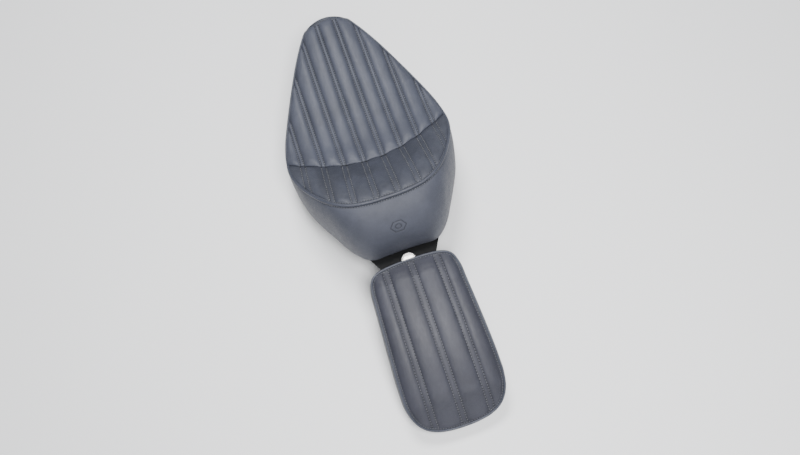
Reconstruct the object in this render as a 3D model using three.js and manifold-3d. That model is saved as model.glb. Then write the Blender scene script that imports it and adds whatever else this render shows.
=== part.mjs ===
// Motorcycle seat set: a ribbed solo rider seat and a matching passenger pad, joined by one thumb screw.
// Millimetres. +Y points forward to the nose, +X to the rider's right, +Z up.
// The origin is on the thumb screw's axis, where the rear mount plate rests on the fender.

import * as THREE from "three";
import { mergeVertices } from "three/addons/utils/BufferGeometryUtils.js";
import Module from "manifold-3d";

const wasm = await Module();
wasm.setup();

// ---------- driving dimensions ----------

const LEATHER = 2; // cover thickness, with its cloth backing
const GAP = 0.3; // air between hard pieces that touch
const SOFT_GAP = 0.7; // air between layers of the upholstery
const QUILT = 5; // foam sewn behind the ribbed panels
const HEM = 11; // width of the cover folded under a pan
const PAN = 3; // moulded pan wall
const BEAD = 2.7; // radius of the welt bead over the bolster
const SLIM_BEAD = 1.8; // radius of the bead along the seat's sides

// Rider seat rails, half of the seat from the rear centre to the nose centre: [x, y, z].
// The edge rail is the seam between the ribbed top and the wrap, the hem rail is the wrap's lower edge.
const SEAT_EDGE = [
  [0, 83, 88], [30, 84, 87.6], [60, 90, 85.5], [85, 104.5, 79.5], [105, 127, 68], [120, 152, 54],
  [130, 176, 43], [134.5, 199, 34.5], [133, 226, 28], [124, 260, 26], [102, 313, 31], [72, 375, 41],
  [47, 418, 47], [33, 435.5, 49.5], [17, 440.5, 55.5], [0, 442, 58],
];
const SEAT_HEM = [
  [0, 19, 12], [28, 19, 10.5], [54, 21.5, 5], [77, 41, 3.6], [100, 80, 2.8], [121, 121, -0.5],
  [132.5, 159, -4], [138, 197, -7], [137, 232, -8], [128.5, 266, -6], [107.5, 316, -1], [77, 378, 8],
  [50, 420, 16], [35, 437, 19.5], [18, 442.5, 20.5], [0, 443.5, 21],
];
const SEAT_CREST = [45.5, 39.5, 38, 42, 48.5, 55, 58]; // centre line heights, even steps from seam to nose
const SEAM_Y = 170.5; // where the cross seam crosses the centre line
const NOSE_Y = 442; // front of the seat on the centre line
const BAND_END = 6.9; // rail value where the bolster band's outer end starts
const BAND_FAN = 0.297; // how much the band's ribs crowd towards its outer ends
const SEAM_END = 7.6; // rail value where the cross seam meets the edge rail
const NOSE_CORNER = 13; // rail value of the nose corner
const SEAT_END = SEAT_EDGE.length - 1;

// Passenger pad rail in the pad's own unrolled frame: [x, distance forward of the fender arc's start].
const PAD_HEM_H = 6.3; // lower edge of the pad's cover over the fender
const PAD_HEM = [
  [0, -252], [22, -251], [44, -246.5], [62, -237], [75, -220.5], [81.5, -198], [82, -167], [80, -126],
  [77.5, -84.5], [75, -43], [73.5, -21.5], [67.5, -4.5], [52, 5], [26, 8.5], [0, 9],
].map(([x, y]) => [x, y, PAD_HEM_H]);
const PAD_LEAN = 3.5; // how far the pad's side band leans in at the top
const PAD_EDGE_H = 29; // height of the pad's welt over the fender
const PAD_CROWN_H = 38; // height of the pad's crown over the fender
const PAD_BEAD = 2; // radius of the pad's welt
const PAD_REAR = 3.5; // rail value of the pad's rear corners
const PAD_FRONT = 11.3; // rail value of its front corners
const PAD_END = PAD_HEM.length - 1;
const FENDER_R = 390; // radius of the fender's arc
const FENDER_TOP_Y = -10; // where the arc starts, behind the flat under the screw

// Hardware
const PLATE = { thick: 3, step: 2.2, outline: [[40, 78], [63, 34], [47, 5], [36, -16]] };
const SCREW = { shank: 3.1, hole: 3.6, knob: 12.7, base: 9.4, top: 18, tip: -11 };
const NOTCH = { radius: 14.2, top: 26.4 }; // room for the knob in the pad's front
const FORK = { thick: 2.4, half: 27, front: 14, back: 82, slot: 4.3 };
const TUNNEL = { half: 38, wall: 12, roof: 8, rear: 128, front: 350, blend: 22 }; // for the frame's backbone
const BUMPERS = [{ at: [98, 132], top: 0, name: "rear" }, { at: [60, 332], top: 2, name: "front" }];
const BUMPER_FOOT = -14;
const FEET = [{ at: [54, -40], name: "front" }, { at: [56, -205], name: "rear" }];
const HOOK = { half: 15, thick: 3, rear: 292, bend: 338, tip: 392, drop: 14 };
const NUT = { barrel: 7.6, flange: 10.5, tip: -9, step: -4, top: -2.3, slack: 0.25 };
const RIVET = { head: 4.6, shank: 2.2, hole: 2.6, dome: 1.5 };
const PLATE_RIVETS = [[-24, 64], [24, 64]];
const HOOK_RIVETS = [[0, 303], [0, 326]];
const FORK_RIVETS = [[-16, -62], [16, -62]];

// ---------- materials ----------

function finish(color, roughness, metalness = 0) {
  return () => new THREE.MeshStandardMaterial({ color, roughness, metalness });
}
const leather = finish(0x65676e, 0.5);
const darkLeather = finish(0x56585f, 0.55);
const foam = finish(0xd9cfa6, 0.95);
const quilting = finish(0xe8e4d8, 0.95);
const plastic = finish(0x1b1c1e, 0.6);
const rubber = finish(0x141414, 0.9);
const blackSteel = finish(0x121316, 0.4, 0.6);
const zinc = finish(0xb9bcc0, 0.35, 0.9);
const steel = finish(0xd0ccca, 0.25, 1);

// ---------- curves and surfaces ----------

const lerp = (a, b, k) => a + (b - a) * k;
const clamp01 = (k) => Math.min(1, Math.max(0, k));
const smooth = (k) => clamp01(k) ** 2 * (3 - 2 * clamp01(k));
const steps = (n, from = 0, to = 1) => Array.from({ length: n + 1 }, (_, i) => lerp(from, to, i / n));
const mirrored = (values) => [...values.slice(1).reverse().map((v) => -v), ...values];

// Catmull-Rom through points; the curve goes on as its own mirror image (x to -x) past both ends.
function railAt(points, t) {
  const side = t < 0 ? -1 : 1;
  const last = points.length - 1;
  const at = Math.min(Math.abs(t), last);
  const i = Math.min(Math.floor(at), last - 1);
  const k = at - i;
  const flipped = ([x, y, z]) => [-x, y, z];
  const p0 = i > 0 ? points[i - 1] : flipped(points[1]);
  const p3 = i + 2 <= last ? points[i + 2] : flipped(points[last - 1]);
  const point = points[i].map((p1, n) => {
    const p2 = points[i + 1][n];
    return 0.5 * (2 * p1 + (p2 - p0[n]) * k + (2 * p0[n] - 5 * p1 + 4 * p2 - p3[n]) * k * k
      + (3 * p1 - p0[n] - 3 * p2 + p3[n]) * k ** 3);
  });
  return [side * point[0], point[1], point[2]];
}

function heightAt(values, k) {
  return railAt(values.map((v, i) => [i, 0, v]), k * (values.length - 1))[2];
}

// A patch between a rail's two sides: u runs across from -1 to 1, t along the rail from its rear
// corner to its front corner, and the first and last rows follow the rail's own ends. With hold, the
// rows keep the rear end's shape for that much of t before it fades.
function acrossRail(points, rear, front, hold = 0) {
  const end = points.length - 1;
  const row = (u, t) => {
    const [x, y, z] = railAt(points, t);
    return [u * x, y, z];
  };
  const strayAt = (u, t, onRail) => onRail.map((value, i) => value - row(u, t)[i]);
  return (u, t) => {
    const sign = u < 0 ? -1 : 1;
    const rearStray = strayAt(u, rear, railAt(points, rear * u));
    const frontStray = strayAt(u, front, railAt(points, sign * (end - (end - front) * Math.abs(u))));
    const rearShare = clamp01(1 + hold - (t - rear));
    const frontShare = clamp01(1 - (front - t));
    return row(u, t).map((value, i) => value + rearShare * rearStray[i] + frontShare * frontStray[i]);
  };
}

// The unit normal of a surface at (a, b), on the side that `toward` gives (1 or -1). It is taken a
// little inside the patch, because a patch isn't smooth across its own corners.
function normalAt(surface, outerA, outerB, toward) {
  const a = outerA * 0.996;
  const b = outerB * 0.996 + 0.002;
  const d = 1e-3;
  const du = new THREE.Vector3(...surface(a + d, b)).sub(new THREE.Vector3(...surface(a - d, b)));
  const dv = new THREE.Vector3(...surface(a, b + d)).sub(new THREE.Vector3(...surface(a, b - d)));
  return du.cross(dv).normalize().multiplyScalar(toward).toArray();
}

// The same surface sunk below itself by depth.
function sunk(surface, depth, toward = 1) {
  return (a, b) => {
    const n = normalAt(surface, a, b, toward);
    return surface(a, b).map((value, i) => value - depth * n[i]);
  };
}

// ---------- solids from triangles ----------

class Skin {
  corners = [];

  quad(a, b, c, d) {
    this.corners.push(a, b, c, a, c, d);
  }

  // Quads over a grid of points, rows[j][i]. They face the side where i, then j, turn left, or with
  // under set they face the other side, split along the same diagonals.
  grid(rows, under = false) {
    for (let j = 0; j + 1 < rows.length; j++)
      for (let i = 0; i + 1 < rows[j].length; i++) {
        const [a, b, c, d] = [rows[j][i], rows[j][i + 1], rows[j + 1][i + 1], rows[j + 1][i]];
        if (under) this.corners.push(a, c, b, a, d, c);
        else this.quad(a, b, c, d);
      }
    return this;
  }

  // Joins two closed rings that run the same way round but hold different numbers of points.
  // Each ring is a list of { at, point }, sorted by at, and at the end it closes on its start.
  zip(lower, upper) {
    let i = 0;
    let j = 0;
    const point = (ring, n) => ring[n % ring.length].point;
    const at = (ring, n) => (n < ring.length ? ring[n].at : Infinity);
    while (i < lower.length || j < upper.length) {
      const a = point(lower, i);
      const b = point(upper, j);
      const stepLower = j >= upper.length || (i < lower.length && at(lower, i + 1) <= at(upper, j + 1));
      if (stepLower) this.corners.push(a, point(lower, ++i), b);
      else this.corners.push(a, point(upper, ++j), b);
    }
    return this;
  }

  solid() {
    const geometry = new THREE.BufferGeometry();
    geometry.setAttribute("position", new THREE.Float32BufferAttribute(this.corners.flat(), 3));
    const merged = mergeVertices(geometry, 1e-3);
    const index = merged.index.array;
    const kept = [];
    for (let i = 0; i < index.length; i += 3) {
      const [a, b, c] = index.slice(i, i + 3);
      if (a !== b && b !== c && c !== a) kept.push(a, b, c);
    }
    merged.setIndex(kept);
    return merged;
  }
}

// A closed sheet: two surfaces over the same grid, and a wall round the edge.
function sheet(outer, inner, us, vs) {
  const rowsOf = (surface) => vs.map((v) => us.map((u) => surface(u, v)));
  const top = rowsOf(outer);
  const bottom = rowsOf(inner);
  const skin = new Skin().grid(top).grid(bottom, true);
  const last = vs.length - 1;
  const end = us.length - 1;
  skin.grid([bottom[0], top[0]]);
  skin.grid([top[last], bottom[last]]);
  skin.grid([top.map((row) => row[0]), bottom.map((row) => row[0])]);
  skin.grid([bottom.map((row) => row[end]), top.map((row) => row[end])]);
  return skin.solid();
}

// A closed loop of cross-sections: sections[j] is a ring of points, and the last joins the first.
function loop(sections) {
  const closed = sections.map((section) => [...section, section[0]]);
  return new Skin().grid([...closed, closed[0]]).solid();
}

// A round bead along a centre line, with flat ends.
function bead(centres, radii, sides = 6) {
  const rings = centres.map((centre, j) => {
    const before = new THREE.Vector3(...centres[Math.max(0, j - 1)]);
    const after = new THREE.Vector3(...centres[Math.min(centres.length - 1, j + 1)]);
    const along = after.sub(before).normalize();
    const side = new THREE.Vector3(0, 0, 1).cross(along).normalize();
    const up = along.clone().cross(side);
    return steps(sides).map((k) => {
      const turn = 2 * Math.PI * k;
      const r = radii[j];
      return side.clone().multiplyScalar(r * Math.cos(turn)).addScaledVector(up, r * Math.sin(turn))
        .add(new THREE.Vector3(...centre)).toArray();
    });
  });
  const skin = new Skin().grid(rings);
  const cap = (ring, centre) => ring.slice(1).forEach((p, i) => skin.corners.push(centre, ring[i], p));
  cap([...rings[0]].reverse(), centres[0]);
  cap(rings[rings.length - 1], centres[centres.length - 1]);
  return skin.solid();
}

function manifoldOf(geometry) {
  const plain = geometry.index ? geometry.toNonIndexed() : geometry.clone();
  plain.deleteAttribute("normal");
  plain.deleteAttribute("uv");
  const merged = mergeVertices(plain, 1e-4);
  return new wasm.Manifold(new wasm.Mesh({
    numProp: 3,
    vertProperties: merged.attributes.position.array,
    triVerts: new Uint32Array(merged.index.array),
  }));
}

function geometryOf(manifold) {
  const mesh = manifold.getMesh();
  return new THREE.BufferGeometry()
    .setAttribute("position", new THREE.BufferAttribute(mesh.vertProperties, 3))
    .setIndex(new THREE.BufferAttribute(mesh.triVerts, 1));
}

const cut = (geometry, ...tools) =>
  geometryOf(tools.reduce((left, tool) => left.subtract(manifoldOf(tool)), manifoldOf(geometry)));

// A solid turned about Z from [radius, z] points, listed upwards on the outside.
function turned(profile, sides) {
  const lathe = new THREE.LatheGeometry(profile.map(([r, z]) => new THREE.Vector2(r, z)), sides);
  return lathe.rotateX(Math.PI / 2);
}

function flatPlate(outline, thick, bottom, holes = []) {
  const shape = new THREE.Shape(outline.map(([x, y]) => new THREE.Vector2(x, y)));
  holes.forEach(([x, y, r]) => shape.holes.push(new THREE.Path().absarc(x, y, r, 0, 2 * Math.PI, true)));
  const plate = new THREE.ExtrudeGeometry(shape, { depth: thick, bevelEnabled: false, curveSegments: 8 });
  return plate.translate(0, 0, bottom);
}

// A strip of even width that follows [y, z] points, as wide as 2 * half along X.
function strap(line, half, thick) {
  const above = line.map(([y, z]) => [y, z + thick]);
  const shape = new THREE.Shape([...line, ...above.reverse()].map(([y, z]) => new THREE.Vector2(y, z)));
  const solid = new THREE.ExtrudeGeometry(shape, { depth: 2 * half, bevelEnabled: false });
  return solid.applyMatrix4(new THREE.Matrix4().set(0, 0, 1, -half, 1, 0, 0, 0, 0, 1, 0, 0, 0, 0, 0, 1));
}

// ---------- the seat set ----------

const seatSet = new THREE.Group();
seatSet.name = "motorcycle_seat_set";

function add(name, geometry, material) {
  const mesh = new THREE.Mesh(geometry, material());
  mesh.name = name;
  seatSet.add(mesh);
  return mesh;
}

const SIDES = [[-1, "left"], [1, "right"]];

// ---------- rider seat surfaces ----------

const seatEdge = (t) => railAt(SEAT_EDGE, t);
const seatHem = (t) => railAt(SEAT_HEM, t);
const bandRail = (u) => BAND_END * ((1 - BAND_FAN) * u + BAND_FAN * u ** 7);
const topRail = (v) => lerp(SEAM_END, NOSE_CORNER, v);

// Ribbed top: u across from -1 to 1, v from the cross seam (0) to the nose (1).
function topPanel(u, v) {
  const [x, y, z] = seatEdge(topRail(v));
  const away = Math.abs(u);
  const drop = 0.35 * u * u + 0.65 * away ** 6;
  const crestY = lerp(SEAM_Y, NOSE_Y, v);
  const crestZ = heightAt(SEAT_CREST, v);
  const row = [u * x, lerp(crestY, y, u * u), lerp(crestZ, z, drop)];
  if (v < 0.8) return row;
  const [cx, cy, cz] = seatEdge(NOSE_CORNER);
  const nose = seatEdge(Math.sign(u || 1) * (SEAT_END - (SEAT_END - NOSE_CORNER) * away));
  const plain = [u * cx, lerp(NOSE_Y, cy, u * u), lerp(SEAT_CREST[6], cz, drop)];
  const share = (v - 0.8) / 0.2;
  return row.map((value, i) => value + share * (nose[i] - plain[i]));
}

// Bolster band: s from the cross seam (0) up to the welt (1).
function bolsterBand(u, s) {
  const seam = topPanel(u, 0);
  const welt = seatEdge(bandRail(u));
  const rise = 1 - Math.max(0, 1 - s) ** 1.55;
  const flat = [lerp(seam[0], welt[0], s), lerp(seam[1], welt[1], s), lerp(seam[2], welt[2], rise)];
  const corner = Math.sign(u || 1);
  const end = seatEdge(corner * lerp(SEAM_END, BAND_END, s));
  const endSeam = topPanel(corner, 0);
  const endWelt = seatEdge(corner * BAND_END);
  const endFlat = [lerp(endSeam[0], endWelt[0], s), lerp(endSeam[1], endWelt[1], s),
    lerp(endSeam[2], endWelt[2], rise)];
  const share = u ** 8;
  return flat.map((value, i) => value + share * (end[i] - endFlat[i]));
}

// Rear and side wrap: t round the seat, s from the edge rail (0) down to the hem rail (1).
function sideWrap(t, s) {
  const edge = seatEdge(t);
  const hem = seatHem(t);
  const turn = (s * Math.PI) / 2;
  const out = 0.85 * Math.sin(turn) + 0.15 * s;
  const down = 0.85 * (1 - Math.cos(turn)) + 0.15 * s;
  return [lerp(edge[0], hem[0], out), lerp(edge[1], hem[1], out), lerp(edge[2], hem[2], down)];
}

// How far along a surface's second parameter a given distance in millimetres reaches, from v = 0.
function reach(surface, u, v, millimetres) {
  const d = 0.01;
  const a = new THREE.Vector3(...surface(u, v));
  return (d * millimetres) / a.distanceTo(new THREE.Vector3(...surface(u, v + d)));
}

// Moves a point of a rail inwards, square to the rail, in the plane of the first two coordinates.
function inset(rail, t, distance) {
  const [ax, ay] = rail(t - 1e-3);
  const [bx, by] = rail(t + 1e-3);
  const length = Math.hypot(bx - ax, by - ay);
  const [x, y, z] = rail(t);
  return [x - (distance * (by - ay)) / length, y + (distance * (bx - ax)) / length, z];
}

// ---------- rider seat pieces ----------

const half = [0, 0.2, 0.34, 0.46, 0.62, 0.78, 0.9, 1]; // u values over half a ribbed panel, closer at its edge
const across = mirrored(half);
const bandRows = steps(3);
const topRows = [0, 0.1, 0.22, 0.36, 0.5, 0.64, 0.78, 0.9, 1];
const seatRound = mirrored([
  ...half.map(bandRail),
  ...bandRows.slice(1, -1).map((s) => lerp(BAND_END, SEAM_END, s)),
  ...topRows.map(topRail),
  ...[...half].reverse().slice(1).map((u) => SEAT_END - (SEAT_END - NOSE_CORNER) * u),
]).slice(1);

const seamGap = (t) => (Math.abs(t) < SEAM_END ? BEAD + 0.6 : SLIM_BEAD + 0.6);
const coverDepth = LEATHER + SOFT_GAP;
const quiltDepth = coverDepth + QUILT;
const foamDepth = quiltDepth + SOFT_GAP;

// The same surface, drawn in from both sides by a distance; halfAt gives its half-width along v.
const drawnIn = (surface, halfAt, distance) => (u, v) => surface(u * (1 - distance / halfAt(v)), v);
const topHalf = (v) => seatEdge(topRail(Math.min(v, 1)))[0];
const bandHalf = () => seatEdge(SEAM_END)[0];

function seatCovers() {
  const top = drawnIn(topPanel, topHalf, SLIM_BEAD + 1);
  const rows = topRows.map((v) => lerp(0.006, 0.985, v));
  add("top_panel", sheet(top, sunk(top, LEATHER), across, rows), leather);

  // The welt runs slantwise over the band's outer ends, so the band stops further short of it there.
  const shy = (u) => (BEAD + 1) * (1 + 2.2 * Math.abs(u) ** 4);
  const band = drawnIn(bolsterBand, bandHalf, BEAD + 3.8);
  const span = (u, k) => band(u, lerp(1 - reach(band, u, 0.9, shy(u)), 0.04, k));
  add("bolster_band", sheet(span, sunk(span, LEATHER), across, bandRows), darkLeather);
}

// One ring of the wrap: down the outside, in under the pan, and back up the inside.
function wrapSection(t) {
  const start = Math.min(0.3, reach(sideWrap, t, 0, seamGap(t)));
  const downs = steps(5, start, 1);
  const outside = downs.map((s) => sideWrap(t, s));
  const inner = sunk(sideWrap, LEATHER, -1);
  const inside = downs.slice(0, -1).map((s) => inner(t, s)).reverse();
  const corner = inset(seatHem, t, LEATHER);
  const fold = inset(seatHem, t, HEM);
  const lift = ([x, y, z]) => [x, y, z + LEATHER];
  return [...outside, fold, lift(fold), lift(corner), ...inside];
}

function seatWrap() {
  add("side_wrap", loop(seatRound.map(wrapSection)), leather);
}

function seatWelt() {
  const reachT = NOSE_CORNER - 0.3;
  const ts = seatRound.filter((t) => Math.abs(t) < reachT);
  const centres = ts.map((t) => {
    const [x, y, z] = seatEdge(t);
    return [x, y, z + 0.6];
  });
  const radii = ts.map((t) => lerp(BEAD, SLIM_BEAD, smooth((Math.abs(t) - BAND_END) / 1.2)));
  add("welt_bead", bead(centres, radii), leather);
}

// The stitched binding over the nose's front edge, a folded strip on top of both panels.
function noseBinding() {
  const width = 7;
  const turns = mirrored(steps(3, 0, 0.94));
  const over = (u, proud) => {
    const t = Math.sign(u || 1) * (SEAT_END - (SEAT_END - NOSE_CORNER) * Math.abs(u));
    const back = sunk(topPanel, -proud)(u, 1 - width / (NOSE_Y - SEAM_Y));
    const [ex, ey, ez] = seatEdge(t);
    const down = sunk(sideWrap, -proud, -1)(t, 0.45);
    return [back, [ex, ey + proud * 0.7, ez + proud], down];
  };
  const surface = (proud) => (u, k) => over(u, proud)[k];
  add("nose_binding", sheet(surface(2.4), surface(1), turns, [0, 1, 2]), darkLeather);
}

// ---------- rider pan, foam and hardware ----------

const PAN_INSET = LEATHER + 2.5;
const PAN_LIFT = LEATHER + 1.6; // pan underside over the hem rail
const SEAT_REAR = 2;

const panRail = SEAT_HEM.map((_, t) => {
  const [x, y, z] = inset(seatHem, t, PAN_INSET);
  return [Math.max(0, x), y, z];
});
const panPatch = acrossRail(panRail, SEAT_REAR, NOSE_CORNER, 0.5);

// Columns of the pan's grid: k from 0 to 1 crosses half the tunnel, and from 1 to 2 the rest of that side.
const panAcross = mirrored([0, 0.38, 0.684, 0.84, 1, 1.5, 2]);
function panColumn(k, t) {
  const tunnel = Math.min(TUNNEL.half / railAt(panRail, t)[0], 0.8);
  const away = Math.abs(k);
  return Math.sign(k) * (away < 1 ? away * tunnel : lerp(tunnel, 1, away - 1));
}

function panFloor(lift) {
  return (k, t) => {
    const [x, y, z] = panPatch(panColumn(k, t), t);
    const rear = smooth((y - TUNNEL.rear) / TUNNEL.blend);
    const front = smooth((TUNNEL.front + TUNNEL.blend - y) / TUNNEL.blend);
    const side = smooth((TUNNEL.half - Math.abs(x)) / TUNNEL.wall);
    return [x, y, lift + lerp(z, Math.max(z, TUNNEL.roof - PAN_LIFT), rear * front * side)];
  };
}

const panRows = [2, 2.5, 3, 3.7, 4.4, 5.2, 5.6, 6.2, 7, 8, 9, 10, 10.6, 11.1, 11.8, 12.5, 13];

// The outline of a patch as a ring: from just left of the front centre, round the rear, back to the centre.
function outlineOf(rows) {
  const last = rows.length - 1;
  const end = rows[0].length - 1;
  const centre = end / 2;
  return [
    ...rows[last].slice(0, centre).reverse(),
    ...rows.slice(0, last).reverse().map((row) => row[0]),
    ...rows[0].slice(1),
    ...rows.slice(1).map((row) => row[end]),
    ...rows[last].slice(centre, end).reverse(),
  ];
}

const closedRing = (ring) => [...ring, ring[0]];

// The foam block: ribbed top and bolster, the flanks inside the wrap, and a floor moulded to the pan.
function seatFoam() {
  const band = sunk(bolsterBand, foamDepth, -1);
  const top = sunk(topPanel, foamDepth);
  const roof = [
    ...bandRows.slice(0, -1).map((k) => across.map((u) => band(u, 1 - k))),
    ...topRows.map((v) => across.map((u) => top(u, v))),
  ];
  const flank = sunk(sideWrap, coverDepth + 1.6, -1);
  const rings = [0.84, 0.6, 0.35, 0.12].map((s) => seatRound.map((t) => flank(t, s)));
  const floor = panFloor(PAN_LIFT + PAN + GAP);
  const bottom = panRows.map((t) => panAcross.map((k) => floor(k, t)));
  const railOf = (u) => (u < 0 ? -1 : 1) * (SEAT_END - (SEAT_END - NOSE_CORNER) * Math.abs(u));
  const at = outlineOf(panRows.map((t, j) => panAcross.map((k) => {
    const u = panColumn(k, t);
    if (j === panRows.length - 1 && Math.abs(u) < 1) return railOf(u);
    return Math.abs(u) < 1 ? SEAT_REAR * u : u * t;
  })));
  const lower = outlineOf(bottom).map((point, i) => ({ at: at[i], point }));
  const upper = rings[0].map((point, i) => ({ at: seatRound[i], point }));
  const skin = new Skin().grid(roof).zip(lower, upper);
  skin.grid([...rings, outlineOf(roof)].map(closedRing));
  skin.grid(bottom, true);
  add("seat_foam", skin.solid(), foam);
}

// The foam layer sewn behind the ribbed top and the bolster band.
function seatQuilting() {
  const top = drawnIn(topPanel, topHalf, 6);
  const rows = topRows.map((v) => lerp(0.035, 0.965, v));
  add("top_quilting", sheet(sunk(top, coverDepth), sunk(top, quiltDepth), across, rows), quilting);
  const band = drawnIn(bolsterBand, bandHalf, 9);
  const span = (u, k) => band(u, lerp(lerp(0.88, 0.7, u ** 2), 0.12, k));
  const layer = sheet(sunk(span, coverDepth + 0.6), sunk(span, quiltDepth), across, bandRows);
  add("band_quilting", layer, quilting);
}

const drill = (x, y, r) => new THREE.CylinderGeometry(r, r, 80, 10).rotateX(Math.PI / 2).translate(x, y, 0);

function seatPan() {
  const shell = sheet(panFloor(PAN_LIFT + PAN), panFloor(PAN_LIFT), panAcross, panRows);
  const stems = BUMPERS.flatMap(({ at: [x, y] }) => SIDES.map(([side]) => drill(side * x, y, RIVET.hole)));
  const holes = [...PLATE_RIVETS, ...HOOK_RIVETS].map(([x, y]) => drill(x, y, RIVET.hole));
  add("seat_pan", cut(shell, ...stems, ...holes), plastic);
}

// A rivet or stem: a head below, and a shank that goes up through the sheet metal and the pan.
function rivet(name, [x, y], seat, top) {
  const low = seat - RIVET.dome;
  const profile = [[0, low], [RIVET.head * 0.7, low], [RIVET.head, seat - GAP], [RIVET.shank, seat - GAP],
    [RIVET.shank, top], [0, top]];
  return add(name, turned(profile, 12).translate(x, y, 0), zinc);
}

function mountPlate() {
  const { thick, step, outline } = PLATE;
  const whole = [...outline, ...outline.map(([x, y]) => [-x, y]).reverse()];
  const line = [[-40, 0], [38, 0], [46, step], [100, step]];
  const outlined = manifoldOf(flatPlate([...whole].reverse(), 40, -20));
  const solid = manifoldOf(strap(line, 80, thick)).intersect(outlined);
  const holes = PLATE_RIVETS.map(([x, y]) => drill(x, y, RIVET.hole));
  add("mount_plate", cut(geometryOf(solid), ...holes, drill(0, 0, SCREW.hole)), blackSteel);
  const top = step + thick + PAN;
  PLATE_RIVETS.forEach((place, i) => rivet(`plate_rivet_${SIDES[i][1]}`, place, step, top));
}

function frontHook() {
  const { thick, rear, bend: knee, tip, drop, half: halfWidth } = HOOK;
  const low = TUNNEL.roof - 0.6 - thick;
  const line = [[rear, low], [knee, low], [knee + drop, low - drop], [tip, low - drop]];
  const holes = HOOK_RIVETS.map(([x, y]) => drill(x, y, RIVET.hole));
  add("front_hook", cut(strap(line, halfWidth, thick), ...holes), blackSteel);
  const ends = ["rear", "front"];
  HOOK_RIVETS.forEach((place, i) => rivet(`hook_rivet_${ends[i]}`, place, low, TUNNEL.roof + PAN));
}

function bumpers() {
  for (const { at: [x, y], top, name } of BUMPERS)
    for (const [side, hand] of SIDES) {
      const stem = [[RIVET.shank, top], [RIVET.shank, top + PAN], [0, top + PAN]];
      const body = [[0, BUMPER_FOOT], [11, BUMPER_FOOT], [12.5, BUMPER_FOOT + 2], [10, top]];
      add(`bumper_${name}_${hand}`, turned([...body, ...stem], 16).translate(side * x, y, 0), rubber);
    }
}

// ---------- thumb screw set ----------

function thumbScrew() {
  const { shank, knob, base, top, tip } = SCREW;
  const teeth = 24;
  const rim = new THREE.Shape();
  for (let i = 0; i < teeth * 2; i++) {
    const turn = (Math.PI * i) / teeth;
    const r = knob - (i % 2 ? 0.7 : 0);
    rim[i ? "lineTo" : "moveTo"](r * Math.cos(turn), r * Math.sin(turn));
  }
  const grip = new THREE.ExtrudeGeometry(rim, { depth: top - base - 3.2, bevelEnabled: false });
  const body = turned([[0, tip], [shank - 0.8, tip], [shank, tip + 1], [shank, base], [knob - 3, base],
    [knob - 1.2, base + 1.7], [knob - 1.2, top - 1.7], [knob - 2.4, top], [knob - 4, top - 0.8],
    [0, top - 0.8]], 32);
  const joined = manifoldOf(body).add(manifoldOf(grip.translate(0, 0, base + 1.6)));
  add("thumb_screw", geometryOf(joined), steel);
}

function washers() {
  const washer = (low, high, r) => {
    const inner = SCREW.hole;
    return turned([[inner, low], [r, low], [r, high], [inner, high], [inner, low]], 24);
  };
  add("rubber_washer", washer(6, 7.5, 10.5), rubber);
  add("flat_washer", washer(7.8, 9.1, 11.5), zinc);
}

// The threaded insert that the screw draws up under the fender's sheet.
function fenderNut() {
  const { barrel, flange, tip, step, top, slack } = NUT;
  const inner = SCREW.shank + slack;
  const outside = [[barrel - 0.6, tip], [barrel, tip + 0.6], [barrel, step], [flange, step], [flange, top]];
  add("fender_nut", turned([[inner, tip], ...outside, [inner, top], [inner, tip]], 20), zinc);
}

// ---------- passenger pad ----------

// From the pad's unrolled frame to the seat set's frame: the part behind the arc's start follows the fender.
function bend([x, y, h]) {
  if (y >= 0) return [x, FENDER_TOP_Y + y, h];
  const angle = -y / FENDER_R;
  const r = FENDER_R + h;
  return [x, FENDER_TOP_Y - r * Math.sin(angle), r * Math.cos(angle) - FENDER_R];
}

const padHem = (t) => railAt(PAD_HEM, t);
const padEdgePoints = PAD_HEM.map((_, t) => {
  const [x, y] = inset(padHem, t, PAD_LEAN);
  return [t % PAD_END === 0 ? 0 : x, y, PAD_EDGE_H];
});
const padPatch = acrossRail(padEdgePoints, PAD_REAR, PAD_FRONT);
const bent = (surface) => (a, b) => bend(surface(a, b));

// Crowned top of the pad: u across, t along the rail from the rear corners to the front ones.
const padTop = bent((u, t) => {
  const [x, y, h] = padPatch(u, t);
  const ends = smooth((t - PAD_REAR) / 1.6) * smooth((PAD_FRONT - t) / 1.4);
  return [x, y, h + (PAD_CROWN_H - PAD_EDGE_H) * (1 - Math.abs(u) ** 3) * ends];
});

// Side band of the pad: t round the pad, s from the welt (0) down to the hem (1).
const padBand = bent((t, s) => {
  const edge = railAt(padEdgePoints, t);
  const hem = padHem(t);
  const out = Math.sin((s * Math.PI) / 2) ** 0.8;
  return [lerp(edge[0], hem[0], out), lerp(edge[1], hem[1], out), lerp(edge[2], hem[2], s)];
});

function padFloor(rimInset, height) {
  const rail = PAD_HEM.map((_, t) => {
    const [x, y] = inset(padHem, t, rimInset);
    return [t % PAD_END === 0 ? 0 : x, y, height];
  });
  return bent(acrossRail(rail, PAD_REAR, PAD_FRONT));
}

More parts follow.
